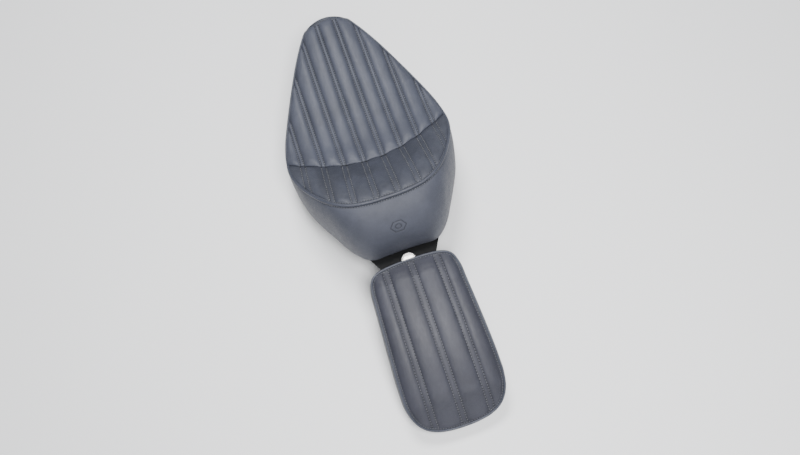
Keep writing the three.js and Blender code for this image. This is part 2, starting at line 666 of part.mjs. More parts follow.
const padAcross = mirrored([0, 0.3, 0.58, 0.82, 1]);
const padRows = [PAD_REAR, 3.8, 4.2, 4.7, 5.3, 6, 7, 8, 9, 9.6, 10.2, 10.6, 11, PAD_FRONT];
const padRound = outlineOf(padRows.map((t, j) => padAcross.map((u) => {
  if (Math.abs(u) === 1) return u * t;
  return j ? (u < 0 ? -1 : 1) * (PAD_END - (PAD_END - PAD_FRONT) * Math.abs(u)) : PAD_REAR * u;
})));
const padHalf = (t) => railAt(padEdgePoints, t)[0];
const shortened = (by) => padRows.map((t) =>
  lerp(PAD_REAR + by, PAD_FRONT - by, (t - PAD_REAR) / (PAD_FRONT - PAD_REAR)));
const PAD_PAN_H = PAD_HEM_H + LEATHER + 1;
const padNotch = () => new THREE.CylinderGeometry(NOTCH.radius, NOTCH.radius, 40, 20)
  .rotateX(Math.PI / 2).translate(0, 0, NOTCH.top - 20);

function padCovers() {
  const top = drawnIn(padTop, padHalf, PAD_BEAD + 3.6);
  add("pad_top_panel", sheet(top, sunk(top, LEATHER), padAcross, shortened(0.3)), leather);

  const inner = sunk(padBand, LEATHER, -1);
  const downs = steps(3, 0.13, 1);
  const section = (t) => {
    const outside = downs.map((s) => padBand(t, s));
    const inside = downs.slice(0, -1).map((s) => inner(t, s)).reverse();
    const fold = (distance, h) => bend([...inset(padHem, t, distance).slice(0, 2), h]);
    return [...outside, fold(HEM, PAD_HEM_H), fold(HEM, PAD_HEM_H + LEATHER),
      fold(LEATHER, PAD_HEM_H + LEATHER), ...inside];
  };
  add("pad_side_band", cut(loop(padRound.map(section)), padNotch()), leather);

  const centres = padRound.map((t) => bend([...railAt(padEdgePoints, t).slice(0, 2), PAD_EDGE_H + 0.2]));
  const ring = (i) => {
    const before = new THREE.Vector3(...centres[(i + centres.length - 1) % centres.length]);
    const after = new THREE.Vector3(...centres[(i + 1) % centres.length]);
    const along = after.sub(before).normalize();
    const side = new THREE.Vector3(0, 0, 1).cross(along).normalize();
    const up = along.clone().cross(side);
    return steps(6).slice(1).map((k) => new THREE.Vector3(...centres[i])
      .addScaledVector(side, PAD_BEAD * Math.cos(2 * Math.PI * k))
      .addScaledVector(up, PAD_BEAD * Math.sin(2 * Math.PI * k)).toArray());
  };
  add("pad_welt", loop(centres.map((_, i) => ring(i))), leather);
}

function padInside() {
  const roof = padRows.map((t) => padAcross.map((u) => sunk(padTop, foamDepth)(u, t)));
  const flank = sunk(padBand, coverDepth + 1.2, -1);
  const rings = [0.8, 0.5].map((s) => padRound.map((t) => flank(t, s)));
  const floor = padFloor(PAN_INSET, PAD_PAN_H + PAN + GAP);
  const bottom = padRows.map((t) => padAcross.map((u) => floor(u, t)));
  const skin = new Skin().grid(roof).grid(bottom, true);
  skin.grid([outlineOf(bottom), ...rings, outlineOf(roof)].map(closedRing));
  add("pad_foam", cut(skin.solid(), padNotch()), foam);

  const top = drawnIn(padTop, padHalf, 8);
  const layer = sheet(sunk(top, coverDepth), sunk(top, quiltDepth), padAcross, shortened(0.4));
  add("pad_quilting", layer, quilting);

  const pan = sheet(padFloor(PAN_INSET, PAD_PAN_H + PAN), padFloor(PAN_INSET, PAD_PAN_H), padAcross, padRows);
  const holes = [...FORK_RIVETS, ...FEET.flatMap(({ at: [x, y] }) => [[-x, y], [x, y]])];
  add("pad_pan", cut(pan, padNotch(), ...holes.map(([x, y]) => padDrill(x, y))), plastic);
}

// Puts a solid made at the origin, standing on the fender's flat, at its place on the fender's arc.
function onFender(geometry, x, y) {
  const angle = -y / FENDER_R;
  const [, worldY, worldZ] = bend([x, y, 0]);
  return geometry.rotateX(angle).translate(x, worldY, worldZ);
}

const padDrill = (x, y) => onFender(drill(0, 0, RIVET.hole), x, y);

function padHardware() {
  const low = PLATE.thick + GAP;
  const tine = [[-FORK.half, -1 + FENDER_TOP_Y], [FORK.half, -1 + FENDER_TOP_Y], [FORK.half, FORK.front - 6],
    [FORK.half - 6, FORK.front], [FORK.slot + 1.5, FORK.front], [FORK.slot, FORK.front - 3]];
  const slotEnd = steps(6).map((k) =>
    [FORK.slot * Math.cos(Math.PI * k), -FORK.slot * Math.sin(Math.PI * k)]);
  const left = tine.slice(2).reverse().map(([x, y]) => [-x, y]);
  const prongs = flatPlate([...tine, ...slotEnd, ...left], FORK.thick, low);
  const spine = steps(8).map((k) => bend([0, -FORK.back * k, low]).slice(1));
  const strip = strap(spine.reverse(), FORK.half, FORK.thick);
  const fork = geometryOf(manifoldOf(prongs).add(manifoldOf(strip)));
  add("pad_fork", cut(fork, ...FORK_RIVETS.map(([x, y]) => padDrill(x, y))), blackSteel);
  FORK_RIVETS.forEach(([x, y], i) => {
    const mesh = rivet(`fork_rivet_${SIDES[i][1]}`, [0, 0], low, PAD_PAN_H + PAN - 0.5);
    mesh.geometry = onFender(mesh.geometry, x, y);
  });

  for (const { at: [x, y], name } of FEET)
    for (const [side, hand] of SIDES) {
      const top = PAD_PAN_H - 0.9;
      const stem = [[RIVET.shank, top], [RIVET.shank, top + PAN], [0, top + PAN]];
      const foot = turned([[0, 0], [8, 0], [9, 1], [7.5, top], ...stem], 16);
      add(`pad_foot_${name}_${hand}`, onFender(foot, side * x, y), rubber);
    }
}

seatCovers();
seatWrap();
seatWelt();
noseBinding();
seatQuilting();
seatFoam();
seatPan();
mountPlate();
frontHook();
bumpers();
thumbScrew();
washers();
fenderNut();
padCovers();
padInside();
padHardware();

export default seatSet;
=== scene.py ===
"""Looks of the motorcycle seat set: covers, welts, stitching, pans and hardware round the CAD frame.

Shapes are worked out in millimetres on the rails of the CAD model, and become metres in build(). +Y points
to the rider seat's nose, +X to the rider's right and +Z up. The origin is on the thumb screw's axis.
"""

import math

import bpy
import numpy as np
from mathutils import Matrix, Vector, noise


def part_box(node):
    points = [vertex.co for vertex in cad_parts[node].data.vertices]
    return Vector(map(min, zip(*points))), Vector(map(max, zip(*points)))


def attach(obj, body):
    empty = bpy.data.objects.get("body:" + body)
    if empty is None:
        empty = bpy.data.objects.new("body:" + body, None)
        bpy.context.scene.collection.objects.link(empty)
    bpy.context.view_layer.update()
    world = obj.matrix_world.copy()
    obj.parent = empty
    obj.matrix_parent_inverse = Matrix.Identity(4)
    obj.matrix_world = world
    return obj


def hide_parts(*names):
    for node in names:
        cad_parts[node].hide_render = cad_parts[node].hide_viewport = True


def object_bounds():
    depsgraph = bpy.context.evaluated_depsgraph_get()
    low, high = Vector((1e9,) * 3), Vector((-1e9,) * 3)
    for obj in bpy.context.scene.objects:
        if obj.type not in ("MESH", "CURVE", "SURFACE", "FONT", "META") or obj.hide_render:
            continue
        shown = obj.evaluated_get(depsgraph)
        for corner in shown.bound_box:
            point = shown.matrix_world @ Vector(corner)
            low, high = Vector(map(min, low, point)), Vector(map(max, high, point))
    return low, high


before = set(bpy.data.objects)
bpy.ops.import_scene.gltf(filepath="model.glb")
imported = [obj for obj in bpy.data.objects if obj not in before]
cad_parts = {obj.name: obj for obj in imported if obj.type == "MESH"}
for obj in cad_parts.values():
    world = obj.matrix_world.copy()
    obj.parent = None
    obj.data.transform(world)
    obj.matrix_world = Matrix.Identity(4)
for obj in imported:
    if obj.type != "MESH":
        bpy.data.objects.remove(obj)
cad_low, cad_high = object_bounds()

MM = 0.001

# ---------- driving dimensions, as in the CAD model ----------

SEAT_EDGE = np.array([
    (0, 83, 88), (30, 84, 87.6), (60, 90, 85.5), (85, 104.5, 79.5), (105, 127, 68), (120, 152, 54),
    (130, 176, 43), (134.5, 199, 34.5), (133, 226, 28), (124, 260, 26), (102, 313, 31), (72, 375, 41),
    (47, 418, 47), (33, 435.5, 49.5), (17, 440.5, 55.5), (0, 442, 58)], float)
SEAT_HEM = np.array([
    (0, 19, 12), (28, 19, 10.5), (54, 21.5, 5), (77, 41, 3.6), (100, 80, 2.8), (121, 121, -0.5),
    (132.5, 159, -4), (138, 197, -7), (137, 232, -8), (128.5, 266, -6), (107.5, 316, -1), (77, 378, 8),
    (50, 420, 16), (35, 437, 19.5), (18, 442.5, 20.5), (0, 443.5, 21)], float)
SEAT_CREST = (45.5, 39.5, 38, 42, 48.5, 55, 58)  # centre line heights from the cross seam to the nose
SEAM_Y = 170.5  # the cross seam, on the centre line
NOSE_Y = 442
BAND_END = 6.9  # edge rail value at the bolster band's outer ends
BAND_FAN = 0.297
SEAM_END = 7.6  # edge rail value where the cross seam ends
NOSE_CORNER = 13
SEAT_END = len(SEAT_EDGE) - 1

PAD_HEM_H = 6.3
PAD_HEM = np.array([
    (0, -252), (22, -251), (44, -246.5), (62, -237), (75, -220.5), (81.5, -198), (82, -167), (80, -126),
    (77.5, -84.5), (75, -43), (73.5, -21.5), (67.5, -4.5), (52, 5), (26, 8.5), (0, 9)], float)
PAD_HEM = np.column_stack([PAD_HEM, np.full(len(PAD_HEM), PAD_HEM_H)])
PAD_LEAN = 3.5
PAD_EDGE_H = 29
PAD_CROWN_H = 38
PAD_REAR = 3.5
PAD_FRONT = 11.3
PAD_REAR_EASE, PAD_FRONT_EASE = 1.6, 1.4  # the lengths of rail along which its crown rises from its ends
PAD_END = len(PAD_HEM) - 1
FENDER_R = 390
FENDER_TOP_Y = -10
NOTCH_R = 14.2
NOTCH_TOP = 26.4

TUNNEL = {"half": 38, "wall": 12, "roof": 8, "rear": 128, "front": 350, "blend": 22}
PAN = 3
PAN_LIFT = 3.6
PAN_INSET = 4.5
PAN_REAR = 2  # rail value of the rider pan's rear corners
PAD_PAN_H = 9.3
HEM = 11

# ---------- driving dimensions of the looks ----------

RIB = 32  # pitch of the ribs on the rider seat's top
PAIR_COUNT = 8  # pairs of stitch lines between those ribs
TOP_PAIR = 2.9  # half of the distance between the two stitch lines of a pair
BAND_PAIR = 3.7
PAD_PAIR = 4.4
PAD_LINE = (41.5, 46.5)  # outer stitch pair's distance from the centre, at the front and at the rear
STITCH = 4.2  # stitch pitch
SEAT_BEAD = 2.7
SLIM_BEAD = 1.8
PAD_BEAD = 2.0
COVER = 1.6  # leather thickness that shows at an edge
TOP_COLUMNS, TOP_ROWS = 270, 215  # points across and along the rider seat's top
BAND_ROWS = 80
PAD_COLUMNS = 190
PAD_SIDE_ROWS = 34
COLUMN_SPREAD = 1.25  # above 0, a cushion's columns crowd towards its sides
BEAD_PULL = 0.02  # the share of a welt's radius by which its stitches draw it in
WELT_STEP = 1.1  # distance between a welt's rings
SCREW_PITCH = 1.27
# how far a rib rises, how far the leather sinks at its seams, and a strip's height as a share of a rib's
TOP_QUILT = {"rise": 5.6, "sink": 1.8, "strip": 0.4}
BAND_QUILT = {"rise": 2.7, "sink": 0.9, "strip": 0.3}
PAD_QUILT = {"rise": 3.7, "sink": 1.4, "strip": 0.26}
RIB_WALL = 1.7
RIB_CLEAR = 44  # the rider pan's cross ribs stay outside this x, and the pad's inside it
# the stiffening ribs under each pan: where the long and the cross ribs are, and the stretch that they fill
SEAT_RIBS = {"along": (52, 66), "across": (170, 210, 250, 290), "height": 1.5, "rear": 92, "front": 352}
PAD_RIBS = {"along": (24,), "across": (-110, -145, -180, -215), "height": 1.3, "rear": -236, "front": -92}
PAD_SIDE_DEPTH = 23  # about how deep the pad's side band is
PAD_SIDE_ROW = 5.6  # how far under the welt its stitch row lies


# ---------- curves and surfaces, in millimetres ----------

def lerp(a, b, k):
    return a + (b - a) * k


def smooth(k):
    k = np.clip(k, 0, 1)
    return k * k * (3 - 2 * k)


def dome(distance, reach):
    """0 at a seam, rising as a quarter round to 1 at reach."""
    return np.sqrt(1 - (1 - np.clip(distance / reach, 0, 1)) ** 2)


def stack(*parts):
    """Points from their x, y and z, each an array or a number."""
    return np.stack(np.broadcast_arrays(*parts), axis=-1)


def rail(points, t):
    """Catmull-Rom through points, mirrored past both ends; a negative t is on the left side."""
    t = np.asarray(t, float)
    last = len(points) - 1
    at = np.minimum(np.abs(t), last)
    i = np.minimum(at.astype(int), last - 1)
    k = (at - i)[..., None]
    flip = np.array([-1, 1, 1])
    padded = np.vstack([points[1] * flip, points, points[last - 1] * flip])
    p0, p1, p2, p3 = (padded[i + n] for n in range(4))
    curve = 0.5 * (2 * p1 + (p2 - p0) * k + (2 * p0 - 5 * p1 + 4 * p2 - p3) * k ** 2
                   + (3 * p1 - p0 - 3 * p2 + p3) * k ** 3)
    return curve * stack(np.where(t < 0, -1, 1), 1, 1)


def inset(points, t, distance):
    """A rail's point moved inwards, square to the rail in plan."""
    step = (rail(points, t + 1e-3) - rail(points, t - 1e-3))[..., :2]
    step = step / np.linalg.norm(step, axis=-1, keepdims=True)
    return rail(points, t) + distance * stack(-step[..., 1], step[..., 0], 0)


def inset_rail(points, distance):
    """The rail's own points moved inwards, with both ends kept on the centre line."""
    moved = inset(points, np.arange(len(points), dtype=float), distance)
    moved[[0, -1], 0] = 0
    return moved


def both_sides(half, closed=False):
    """Rail parameters all the way round, from those on the right side."""
    return np.concatenate([-half[:0:-1], half[:-1] if closed else half])


def seat_edge(t):
    """The rider seat's welt line."""
    return rail(SEAT_EDGE, t)


def nose_rail(u):
    """The rail value that a u from -1 to 1 across the nose stands for."""
    return np.where(u < 0, -1, 1) * (SEAT_END - (SEAT_END - NOSE_CORNER) * np.abs(u))


def crest(v):
    """Height of the top's centre line."""
    heights = np.column_stack([np.arange(len(SEAT_CREST)), np.zeros(len(SEAT_CREST)), SEAT_CREST])
    return rail(heights, v * (len(SEAT_CREST) - 1))[..., 2]


def top_panel(u, v):
    """Ribbed top: u across from -1 to 1, v from the cross seam (0) to the nose (1)."""
    def row(edge, y, z):
        drop = 0.35 * u ** 2 + 0.65 * np.abs(u) ** 6
        return stack(u * edge[..., 0], lerp(y, edge[..., 1], u * u), lerp(z, edge[..., 2], drop))

    plain = row(seat_edge(lerp(SEAM_END, NOSE_CORNER, v)), lerp(SEAM_Y, NOSE_Y, v), crest(v))
    end = row(seat_edge(np.full(np.shape(u), float(NOSE_CORNER))), NOSE_Y, SEAT_CREST[-1])
    return plain + smooth((v - 0.8) / 0.2)[..., None] * (seat_edge(nose_rail(u)) - end)


def bolster(u, s):
    """Bolster band: s from the cross seam (0) up to the welt (1)."""
    rise = 1 - np.clip(1 - s, 0, None) ** 1.55

    def between(seam, welt):
        return stack(lerp(seam[..., 0], welt[..., 0], s), lerp(seam[..., 1], welt[..., 1], s),
                     lerp(seam[..., 2], welt[..., 2], rise))

    zero = np.zeros(np.shape(u))
    side = np.where(u < 0, -1.0, 1.0)
    plain = between(top_panel(u, zero), seat_edge(BAND_END * ((1 - BAND_FAN) * u + BAND_FAN * u ** 7)))
    corner = between(top_panel(side, zero), seat_edge(side * BAND_END))
    end = seat_edge(side * lerp(SEAM_END, BAND_END, s))
    return plain + (u ** 8)[..., None] * (end - corner)


def side_wrap(t, s):
    """Rear and side wrap: t round the seat, s from the edge rail (0) down to the hem (1)."""
    edge, hem = seat_edge(t), rail(SEAT_HEM, t)
    out = 0.85 * np.sin(s * math.pi / 2) + 0.15 * s
    down = 0.85 * (1 - np.cos(s * math.pi / 2)) + 0.15 * s
    return lerp(edge, hem, stack(out, out, down))


def across_rail(points, rear, front, hold=0.0):
    """A patch between a rail's two sides: u across, t along the rail between its rear and front corners."""
    end = len(points) - 1

    def row(u, t):
        return rail(points, t) * stack(u, 1, 1)

    def patch(u, t):
        at_rear = np.full(np.shape(t), float(rear))
        at_front = np.full(np.shape(t), float(front))
        side = np.where(u < 0, -1, 1)
        rear_stray = rail(points, rear * u) - row(u, at_rear)
        front_stray = rail(points, side * (end - (end - front) * np.abs(u))) - row(u, at_front)
        rear_share = np.clip(1 + hold - (t - rear), 0, 1)[..., None]
        front_share = np.clip(1 - (front - t), 0, 1)[..., None]
        return row(u, t) + rear_share * rear_stray + front_share * front_stray

    return patch


def bend(points):
    """From the pad's unrolled frame to the seat set's, where it follows the fender behind the arc's start."""
    x, y, h = np.moveaxis(points, -1, 0)
    angle = np.clip(-y, 0, None) / FENDER_R
    r = FENDER_R + h
    return stack(x, FENDER_TOP_Y - r * np.sin(angle) + np.clip(y, 0, None), r * np.cos(angle) - FENDER_R)


PAD_EDGE = inset_rail(PAD_HEM, PAD_LEAN)
PAD_EDGE[:, 2] = PAD_EDGE_H
pad_patch = across_rail(PAD_EDGE, PAD_REAR, PAD_FRONT)


def pad_top(u, t):
    """The pad's crowned top, bent to the fender."""
    flat = pad_patch(u, t)
    ends = smooth((t - PAD_REAR) / PAD_REAR_EASE) * smooth((PAD_FRONT - t) / PAD_FRONT_EASE)
    crown = (PAD_CROWN_H - PAD_EDGE_H) * (1 - np.abs(u) ** 3) * ends
    return bend(flat + stack(0, 0, crown))


def notched(points):
    """Makes room for the thumb screw's knob in the pad's front, under its welt."""
    x, y, z = np.moveaxis(points, -1, 0)
    back = -np.sqrt(np.clip((NOTCH_R + 0.4) ** 2 - x ** 2, 0, None))
    under = smooth((NOTCH_TOP + 1.2 - z) / 2.5) * (np.abs(x) < NOTCH_R + 0.4) * (y > -NOTCH_R - 2)
    return stack(x, lerp(y, np.minimum(y, back), under), z)


PAN_RAIL = inset_rail(SEAT_HEM, PAN_INSET)
pan_patch = across_rail(PAN_RAIL, PAN_REAR, NOSE_CORNER, 0.5)


def pan_floor(u, t):
    """The rider pan's underside, with its channel for the frame's backbone."""
    x, y, z = np.moveaxis(pan_patch(u, t), -1, 0)
    rear = smooth((y - TUNNEL["rear"]) / TUNNEL["blend"])
    front = smooth((TUNNEL["front"] + TUNNEL["blend"] - y) / TUNNEL["blend"])
    side = smooth((TUNNEL["half"] - np.abs(x)) / TUNNEL["wall"])
    roof = np.maximum(z, TUNNEL["roof"] - PAN_LIFT)
    return stack(x, y, PAN_LIFT + lerp(z, roof, rear * front * side))


PAD_PAN_RAIL = inset_rail(PAD_HEM, PAN_INSET)
PAD_PAN_RAIL[:, 2] = PAD_PAN_H
pad_pan_patch = across_rail(PAD_PAN_RAIL, PAD_REAR, PAD_FRONT)


def normals_of(surface, a, b, toward):
    """Unit normals of a surface, taken a little inside it, as a patch isn't smooth across its corners."""
    a, b, d = a * 0.996, b * 0.996 + 0.002, 1e-3
    n = np.cross(surface(a + d, b) - surface(a - d, b), surface(a, b + d) - surface(a, b - d))
    return toward * n / np.maximum(np.linalg.norm(n, axis=-1, keepdims=True), 1e-9)


def fractal(points, size, seed=0.0):
    """Smooth noise from -1 to 1 at points in millimetres, with lumps of about that size."""
    flat = points.reshape(-1, 3) / size + seed
    return np.array([noise.noise(Vector(p)) for p in flat]).reshape(points.shape[:-1])


# ---------- mesh makers ----------

def build(name, points, faces, material, sharp=None, **attributes):
    """A smooth-shaded object from points in millimetres. An edge above sharp degrees stays hard."""
    mesh = bpy.data.meshes.new(name)
    mesh.from_pydata((np.asarray(points, float) * MM).tolist(), [], [list(f) for f in faces])
    mesh.polygons.foreach_set("use_smooth", [True] * len(mesh.polygons))
    for key, values in attributes.items():
        layer = mesh.attributes.new(key, "FLOAT", "POINT")
        layer.data.foreach_set("value", np.asarray(values, np.float32).ravel())
    if sharp:
        mesh.set_sharp_from_angle(angle=math.radians(sharp))
    mesh.materials.append(material)
    obj = bpy.data.objects.new(name, mesh)
    bpy.context.scene.collection.objects.link(obj)
    return obj


def grid_faces(rows, columns, round_rows=False, round_columns=False, flip=False, start=0):
    """Quads over a grid of points numbered row by row, which may close on itself either way."""
    j, i = np.meshgrid(np.arange(rows if round_rows else rows - 1),
                       np.arange(columns if round_columns else columns - 1), indexing="ij")
    up, along = (j + 1) % rows, (i + 1) % columns
    quads = np.stack([j * columns + i, j * columns + along, up * columns + along, up * columns + i], -1)
    quads = quads.reshape(-1, 4) + start
    return quads[:, ::-1] if flip else quads


def tube_faces(rings, sides, closed=False, start=0):
    """Faces of a tube numbered ring by ring, with flat ends unless it closes on itself."""
    faces = grid_faces(rings, sides, closed, True, False, start).tolist()
    if not closed:
        last = start + (rings - 1) * sides
        faces += [list(range(start, start + sides))[::-1], list(range(last, last + sides))]
    return faces


def grid_normals(points, round_columns=False):
    """Unit normals of a grid of points, whose columns may close on themselves."""
    if round_columns:
        du = np.roll(points, -1, axis=1) - np.roll(points, 1, axis=1)
    else:
        du = np.gradient(points, axis=1)
    n = np.cross(du, np.gradient(points, axis=0))
    return n / np.maximum(np.linalg.norm(n, axis=-1, keepdims=True), 1e-9)


def shell(name, outer, inner, material, flip=False, round_columns=False, sharp=None, **attributes):
    """A closed sheet between two grids of points, with a wall round its open edges."""
    rows, columns = outer.shape[:2]
    count = rows * columns
    faces = [grid_faces(rows, columns, False, round_columns, flip),
             grid_faces(rows, columns, False, round_columns, not flip, count)]
    number = np.arange(count).reshape(rows, columns)
    rims = [(number[0], flip), (number[-1], not flip)]
    if not round_columns:
        rims += [(number[:, 0], not flip), (number[:, -1], flip)]
    for line, turn in rims:
        after = np.roll(line, -1) if round_columns else line[1:]
        here = line if round_columns else line[:-1]
        wall = np.stack([here, here + count, after + count, after], -1)
        faces.append(wall[:, ::-1] if turn else wall)
    points = np.concatenate([outer.reshape(-1, 3), inner.reshape(-1, 3)])
    both = {key: np.concatenate([v.ravel(), v.ravel()]) for key, v in attributes.items()}
    return build(name, points, np.concatenate(faces), material, sharp, **both)


def tube(path, radii, sides=12, closed=False, up=(0, 0, 1)):
    """Points (rings, sides, 3) of a round tube along a path."""
    along = np.roll(path, -1, 0) - np.roll(path, 1, 0) if closed else np.gradient(path, axis=0)
    along /= np.linalg.norm(along, axis=1, keepdims=True)
    side = np.cross(np.broadcast_to(np.asarray(up, float), along.shape), along)
    side /= np.linalg.norm(side, axis=1, keepdims=True)
    top = np.cross(along, side)
    turn = np.arange(sides) * 2 * math.pi / sides
    ring = np.cos(turn)[None, :, None] * side[:, None] + np.sin(turn)[None, :, None] * top[:, None]
    return path[:, None] + np.asarray(radii, float)[:, None, None] * ring


def bead(name, path, radii, material, closed=False):
    """A welt bead; an open one ends in small round tips."""
    if not closed:
        ends = np.array([0.35, 0.75])
        first = path[:1] - np.array([[0.8], [0.4]]) * (path[1] - path[0])
        last = path[-1:] + np.array([[0.4], [0.8]]) * (path[-1] - path[-2])
        path = np.concatenate([first, path, last])
        radii = np.concatenate([ends * radii[0], radii, ends[::-1] * radii[-1]])
    rings = tube(path, radii, 14, closed)
    return build(name, rings.reshape(-1, 3), tube_faces(*rings.shape[:2], closed), material)


def turned(name, profile, material, at=(0, 0, 0), tilt=0.0, sides=64, relief=None, sharp=32):
    """A solid turned about its own vertical axis from (radius, height) points.

    They run up the outside. A profile that starts on the axis is closed by flat ends, and any other closes on
    itself. relief adds to the radius at each (turn, radius, height).
    """
    profile = np.asarray(profile, float)
    ring = profile[profile[:, 0] > 1e-6]
    turn = np.arange(sides) * 2 * math.pi / sides
    r = np.repeat(ring[:, :1], sides, 1)
    z = np.repeat(ring[:, 1:], sides, 1)
    if relief:
        r = r + relief(turn[None, :], r, z)
    points = stack(r * np.cos(turn), r * np.sin(turn), z).reshape(-1, 3)
    faces = tube_faces(len(ring), sides, closed=profile[0][0] > 1e-6)
    c, s = math.cos(tilt), math.sin(tilt)
    turn_x = np.array([[1, 0, 0], [0, c, -s], [0, s, c]])
    return build(name, points @ turn_x.T + np.asarray(at, float), faces, material, sharp)


def arc(points, axis=0):
    """Length run along an array of points, from 0 at its start."""
    steps = np.linalg.norm(np.diff(points, axis=axis), axis=-1)
    return np.insert(np.cumsum(steps, axis=axis), 0, 0, axis=axis)


def pick(values, places):
    """Reads rows of values at places between their whole numbers."""
    low = np.minimum(places.astype(int), len(values) - 2)
    return lerp(values[low], values[low + 1], (places - low)[:, None])


def sew(name, lines, body, material, radius=0.46, share=0.66):
    """Thread: one arched stitch from each needle hole to the next, along lines of (points, normals, phase).

    A line's phase counts its stitches: there is a needle hole wherever it is a whole number.
    """
    points, faces = [], []
    arch = np.array([0, 0.12, 0.35, 0.65, 0.88, 1.0])
    height = np.array([-0.75, -0.05, 0.3, 0.3, -0.05, -0.75]) * radius
    thick = np.array([0.55, 0.95, 1, 1, 0.95, 0.55]) * radius
    sides, rings = 7, len(arch)
    for path, normal, phase in lines:
        phase = phase if phase[-1] > phase[0] else -phase
        holes = np.arange(math.ceil(phase[0]), math.floor(phase[-1]) + 1)
        places = np.interp(holes, phase, np.arange(len(path)))
        for a, b in zip(places[:-1], places[1:]):
            k = lerp(a, b, (1 - share) / 2 + share * arch)
            up = pick(normal, k)
            spine = pick(path, k) + up * height[:, None]
            ring = tube(spine, thick, sides, up=up[2])
            faces += tube_faces(rings, sides, start=len(points) * rings * sides)
            points.append(ring.reshape(-1, 3))
    obj = build(name, np.concatenate(points), faces, material)
    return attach(obj, body)


# ---------- materials ----------

class Nodes:
    """Short hand for a material's node tree: a socket or a plain value can be given for any input."""

    def __init__(self, name):
        self.material = bpy.data.materials.new(name)
        self.material.use_nodes = True
        self.tree = self.material.node_tree
        self.shader = self.tree.nodes["Principled BSDF"]
        self.place = self.add("TexCoord").outputs["Object"]

    def add(self, kind, inputs=(), **settings):
        node = self.tree.nodes.new("ShaderNode" + kind)
        for key, value in settings.items():
            setattr(node, key, value)
        for key, value in dict(inputs).items():
            self.set(node.inputs[key], value)
        return node

    def set(self, socket, value):
        if isinstance(value, bpy.types.NodeSocket):
            self.tree.links.new(value, socket)
        else:
            socket.default_value = value

    def finish(self, **inputs):
        for key, value in inputs.items():
            self.set(self.shader.inputs[key.replace("_", " ")], value)
        return self.material

    def noise(self, size, detail=3.0, rough=0.5, warp=0.0):
        """Noise from 0 to 1 with lumps of that size in millimetres."""
        return self.add("TexNoise", {"Vector": self.place, "Scale": 1 / (size * MM), "Detail": detail,
                                     "Roughness": rough, "Distortion": warp}).outputs["Fac"]

    def ramp(self, value, low, high, to_low=0.0, to_high=1.0):
        """Goes smoothly from to_low to to_high as value goes from low to high."""
        limits = {"From Min": low, "From Max": high, "To Min": to_low, "To Max": to_high}
        node = self.add("MapRange", {"Value": value, **limits}, interpolation_type="SMOOTHSTEP")
        return node.outputs["Result"]

    def math(self, operation, a, b=0.0):
        return self.add("Math", {0: a, 1: b}, operation=operation).outputs[0]

    def vector(self, operation, a, b=(0, 0, 0), output=0, **inputs):
        node = self.add("VectorMath", {0: a, 1: b, **inputs}, operation=operation)
        return node.outputs[output]

    def mix(self, share, a, b):
        node = self.add("Mix", {"Factor": share}, data_type="RGBA")
        self.set(node.inputs[6], a)
        self.set(node.inputs[7], b)
        return node.outputs[2]

    def bump(self, height, depth, before=None, strength=1.0):
        """Bump of that depth in millimetres, on top of an earlier bump."""
        inputs = {"Height": height, "Distance": depth * MM, "Strength": strength}
        if before:
            inputs["Normal"] = before
        return self.add("Bump", inputs).outputs["Normal"]

    def attribute(self, name):
        return self.add("Attribute", attribute_name=name).outputs["Fac"]


def shade(color, factor):
    """The colour made paler or darker by a factor."""
    return tuple(min(1, c * factor) for c in color[:3]) + (1,)


def leather(name, color, roughness=0.44, wrinkle=1.0, mottle=0.12, gloss=0.42):
    """Soft grained hide with pebbles, pores, folds and patches, with painted shade darkening its fold
    hollows, grain cracks, seams, grooves and needle holes.
    """
    n = Nodes(name)
    wander = n.add("TexNoise", {"Vector": n.place, "Scale": 1 / (2.2 * MM), "Detail": 2.0})
    shift = n.vector("SCALE", wander.outputs["Color"], Scale=0.9 * MM)
    cells = {"Vector": n.vector("ADD", n.place, shift), "Scale": 1 / (1.15 * MM)}
    pebble = n.add("TexVoronoi", cells, feature="SMOOTH_F1").outputs["Distance"]
    cracks = n.add("TexVoronoi", cells, feature="DISTANCE_TO_EDGE").outputs["Distance"]
    pebbles = n.math("SUBTRACT", n.ramp(cracks, 0, 0.16), n.math("MULTIPLY", pebble, 0.4))
    pores = n.noise(0.35, 2)
    folds = n.noise(9, 5, 0.55, warp=1.2)
    patches = n.noise(38, 4, 0.5, warp=0.6)
    crease = n.attribute("crease")
    # painted shade in the needle holes: dark dots on the stitch lines wherever the phase is a whole number
    off = n.math("PINGPONG", n.attribute("phase"), 0.5)
    holes = n.math("MULTIPLY", n.ramp(off, 0.22, 0.08), n.attribute("row"))
    tone = n.mix(n.ramp(patches, 0.3, 0.7), shade(color, 1 - mottle), shade(color, 1 + mottle))
    # painted shade: the hollows of the folds and the cracks between pebbles are darkened
    tone = n.mix(n.math("MULTIPLY", n.ramp(folds, 0.55, 0.3), 0.25 * wrinkle), tone, shade(color, 0.72))
    tone = n.mix(n.math("MULTIPLY", n.ramp(cracks, 0.1, 0.0), 0.35), tone, shade(color, 0.6))
    # painted shade: the mesh's mask darkens seams, stitch lines, the sides of welts and the mark's groove
    tone = n.mix(n.math("MULTIPLY", crease, 0.7), tone, shade(color, 0.2))
    tone = n.mix(holes, tone, shade(color, 0.05))
    rough = n.math("ADD", n.ramp(n.noise(5, 4), 0.25, 0.75, roughness - 0.05, roughness + 0.06),
                   n.math("MULTIPLY", crease, 0.25))
    normal = n.bump(folds, 0.5 * wrinkle, strength=0.5)
    normal = n.bump(pebbles, 0.09, normal, 0.8)
    normal = n.bump(pores, 0.03, normal, 0.5)
    return n.finish(Base_Color=tone, Roughness=rough, Normal=normal, Specular_IOR_Level=gloss,
                    Sheen_Weight=0.02, Sheen_Roughness=0.45)


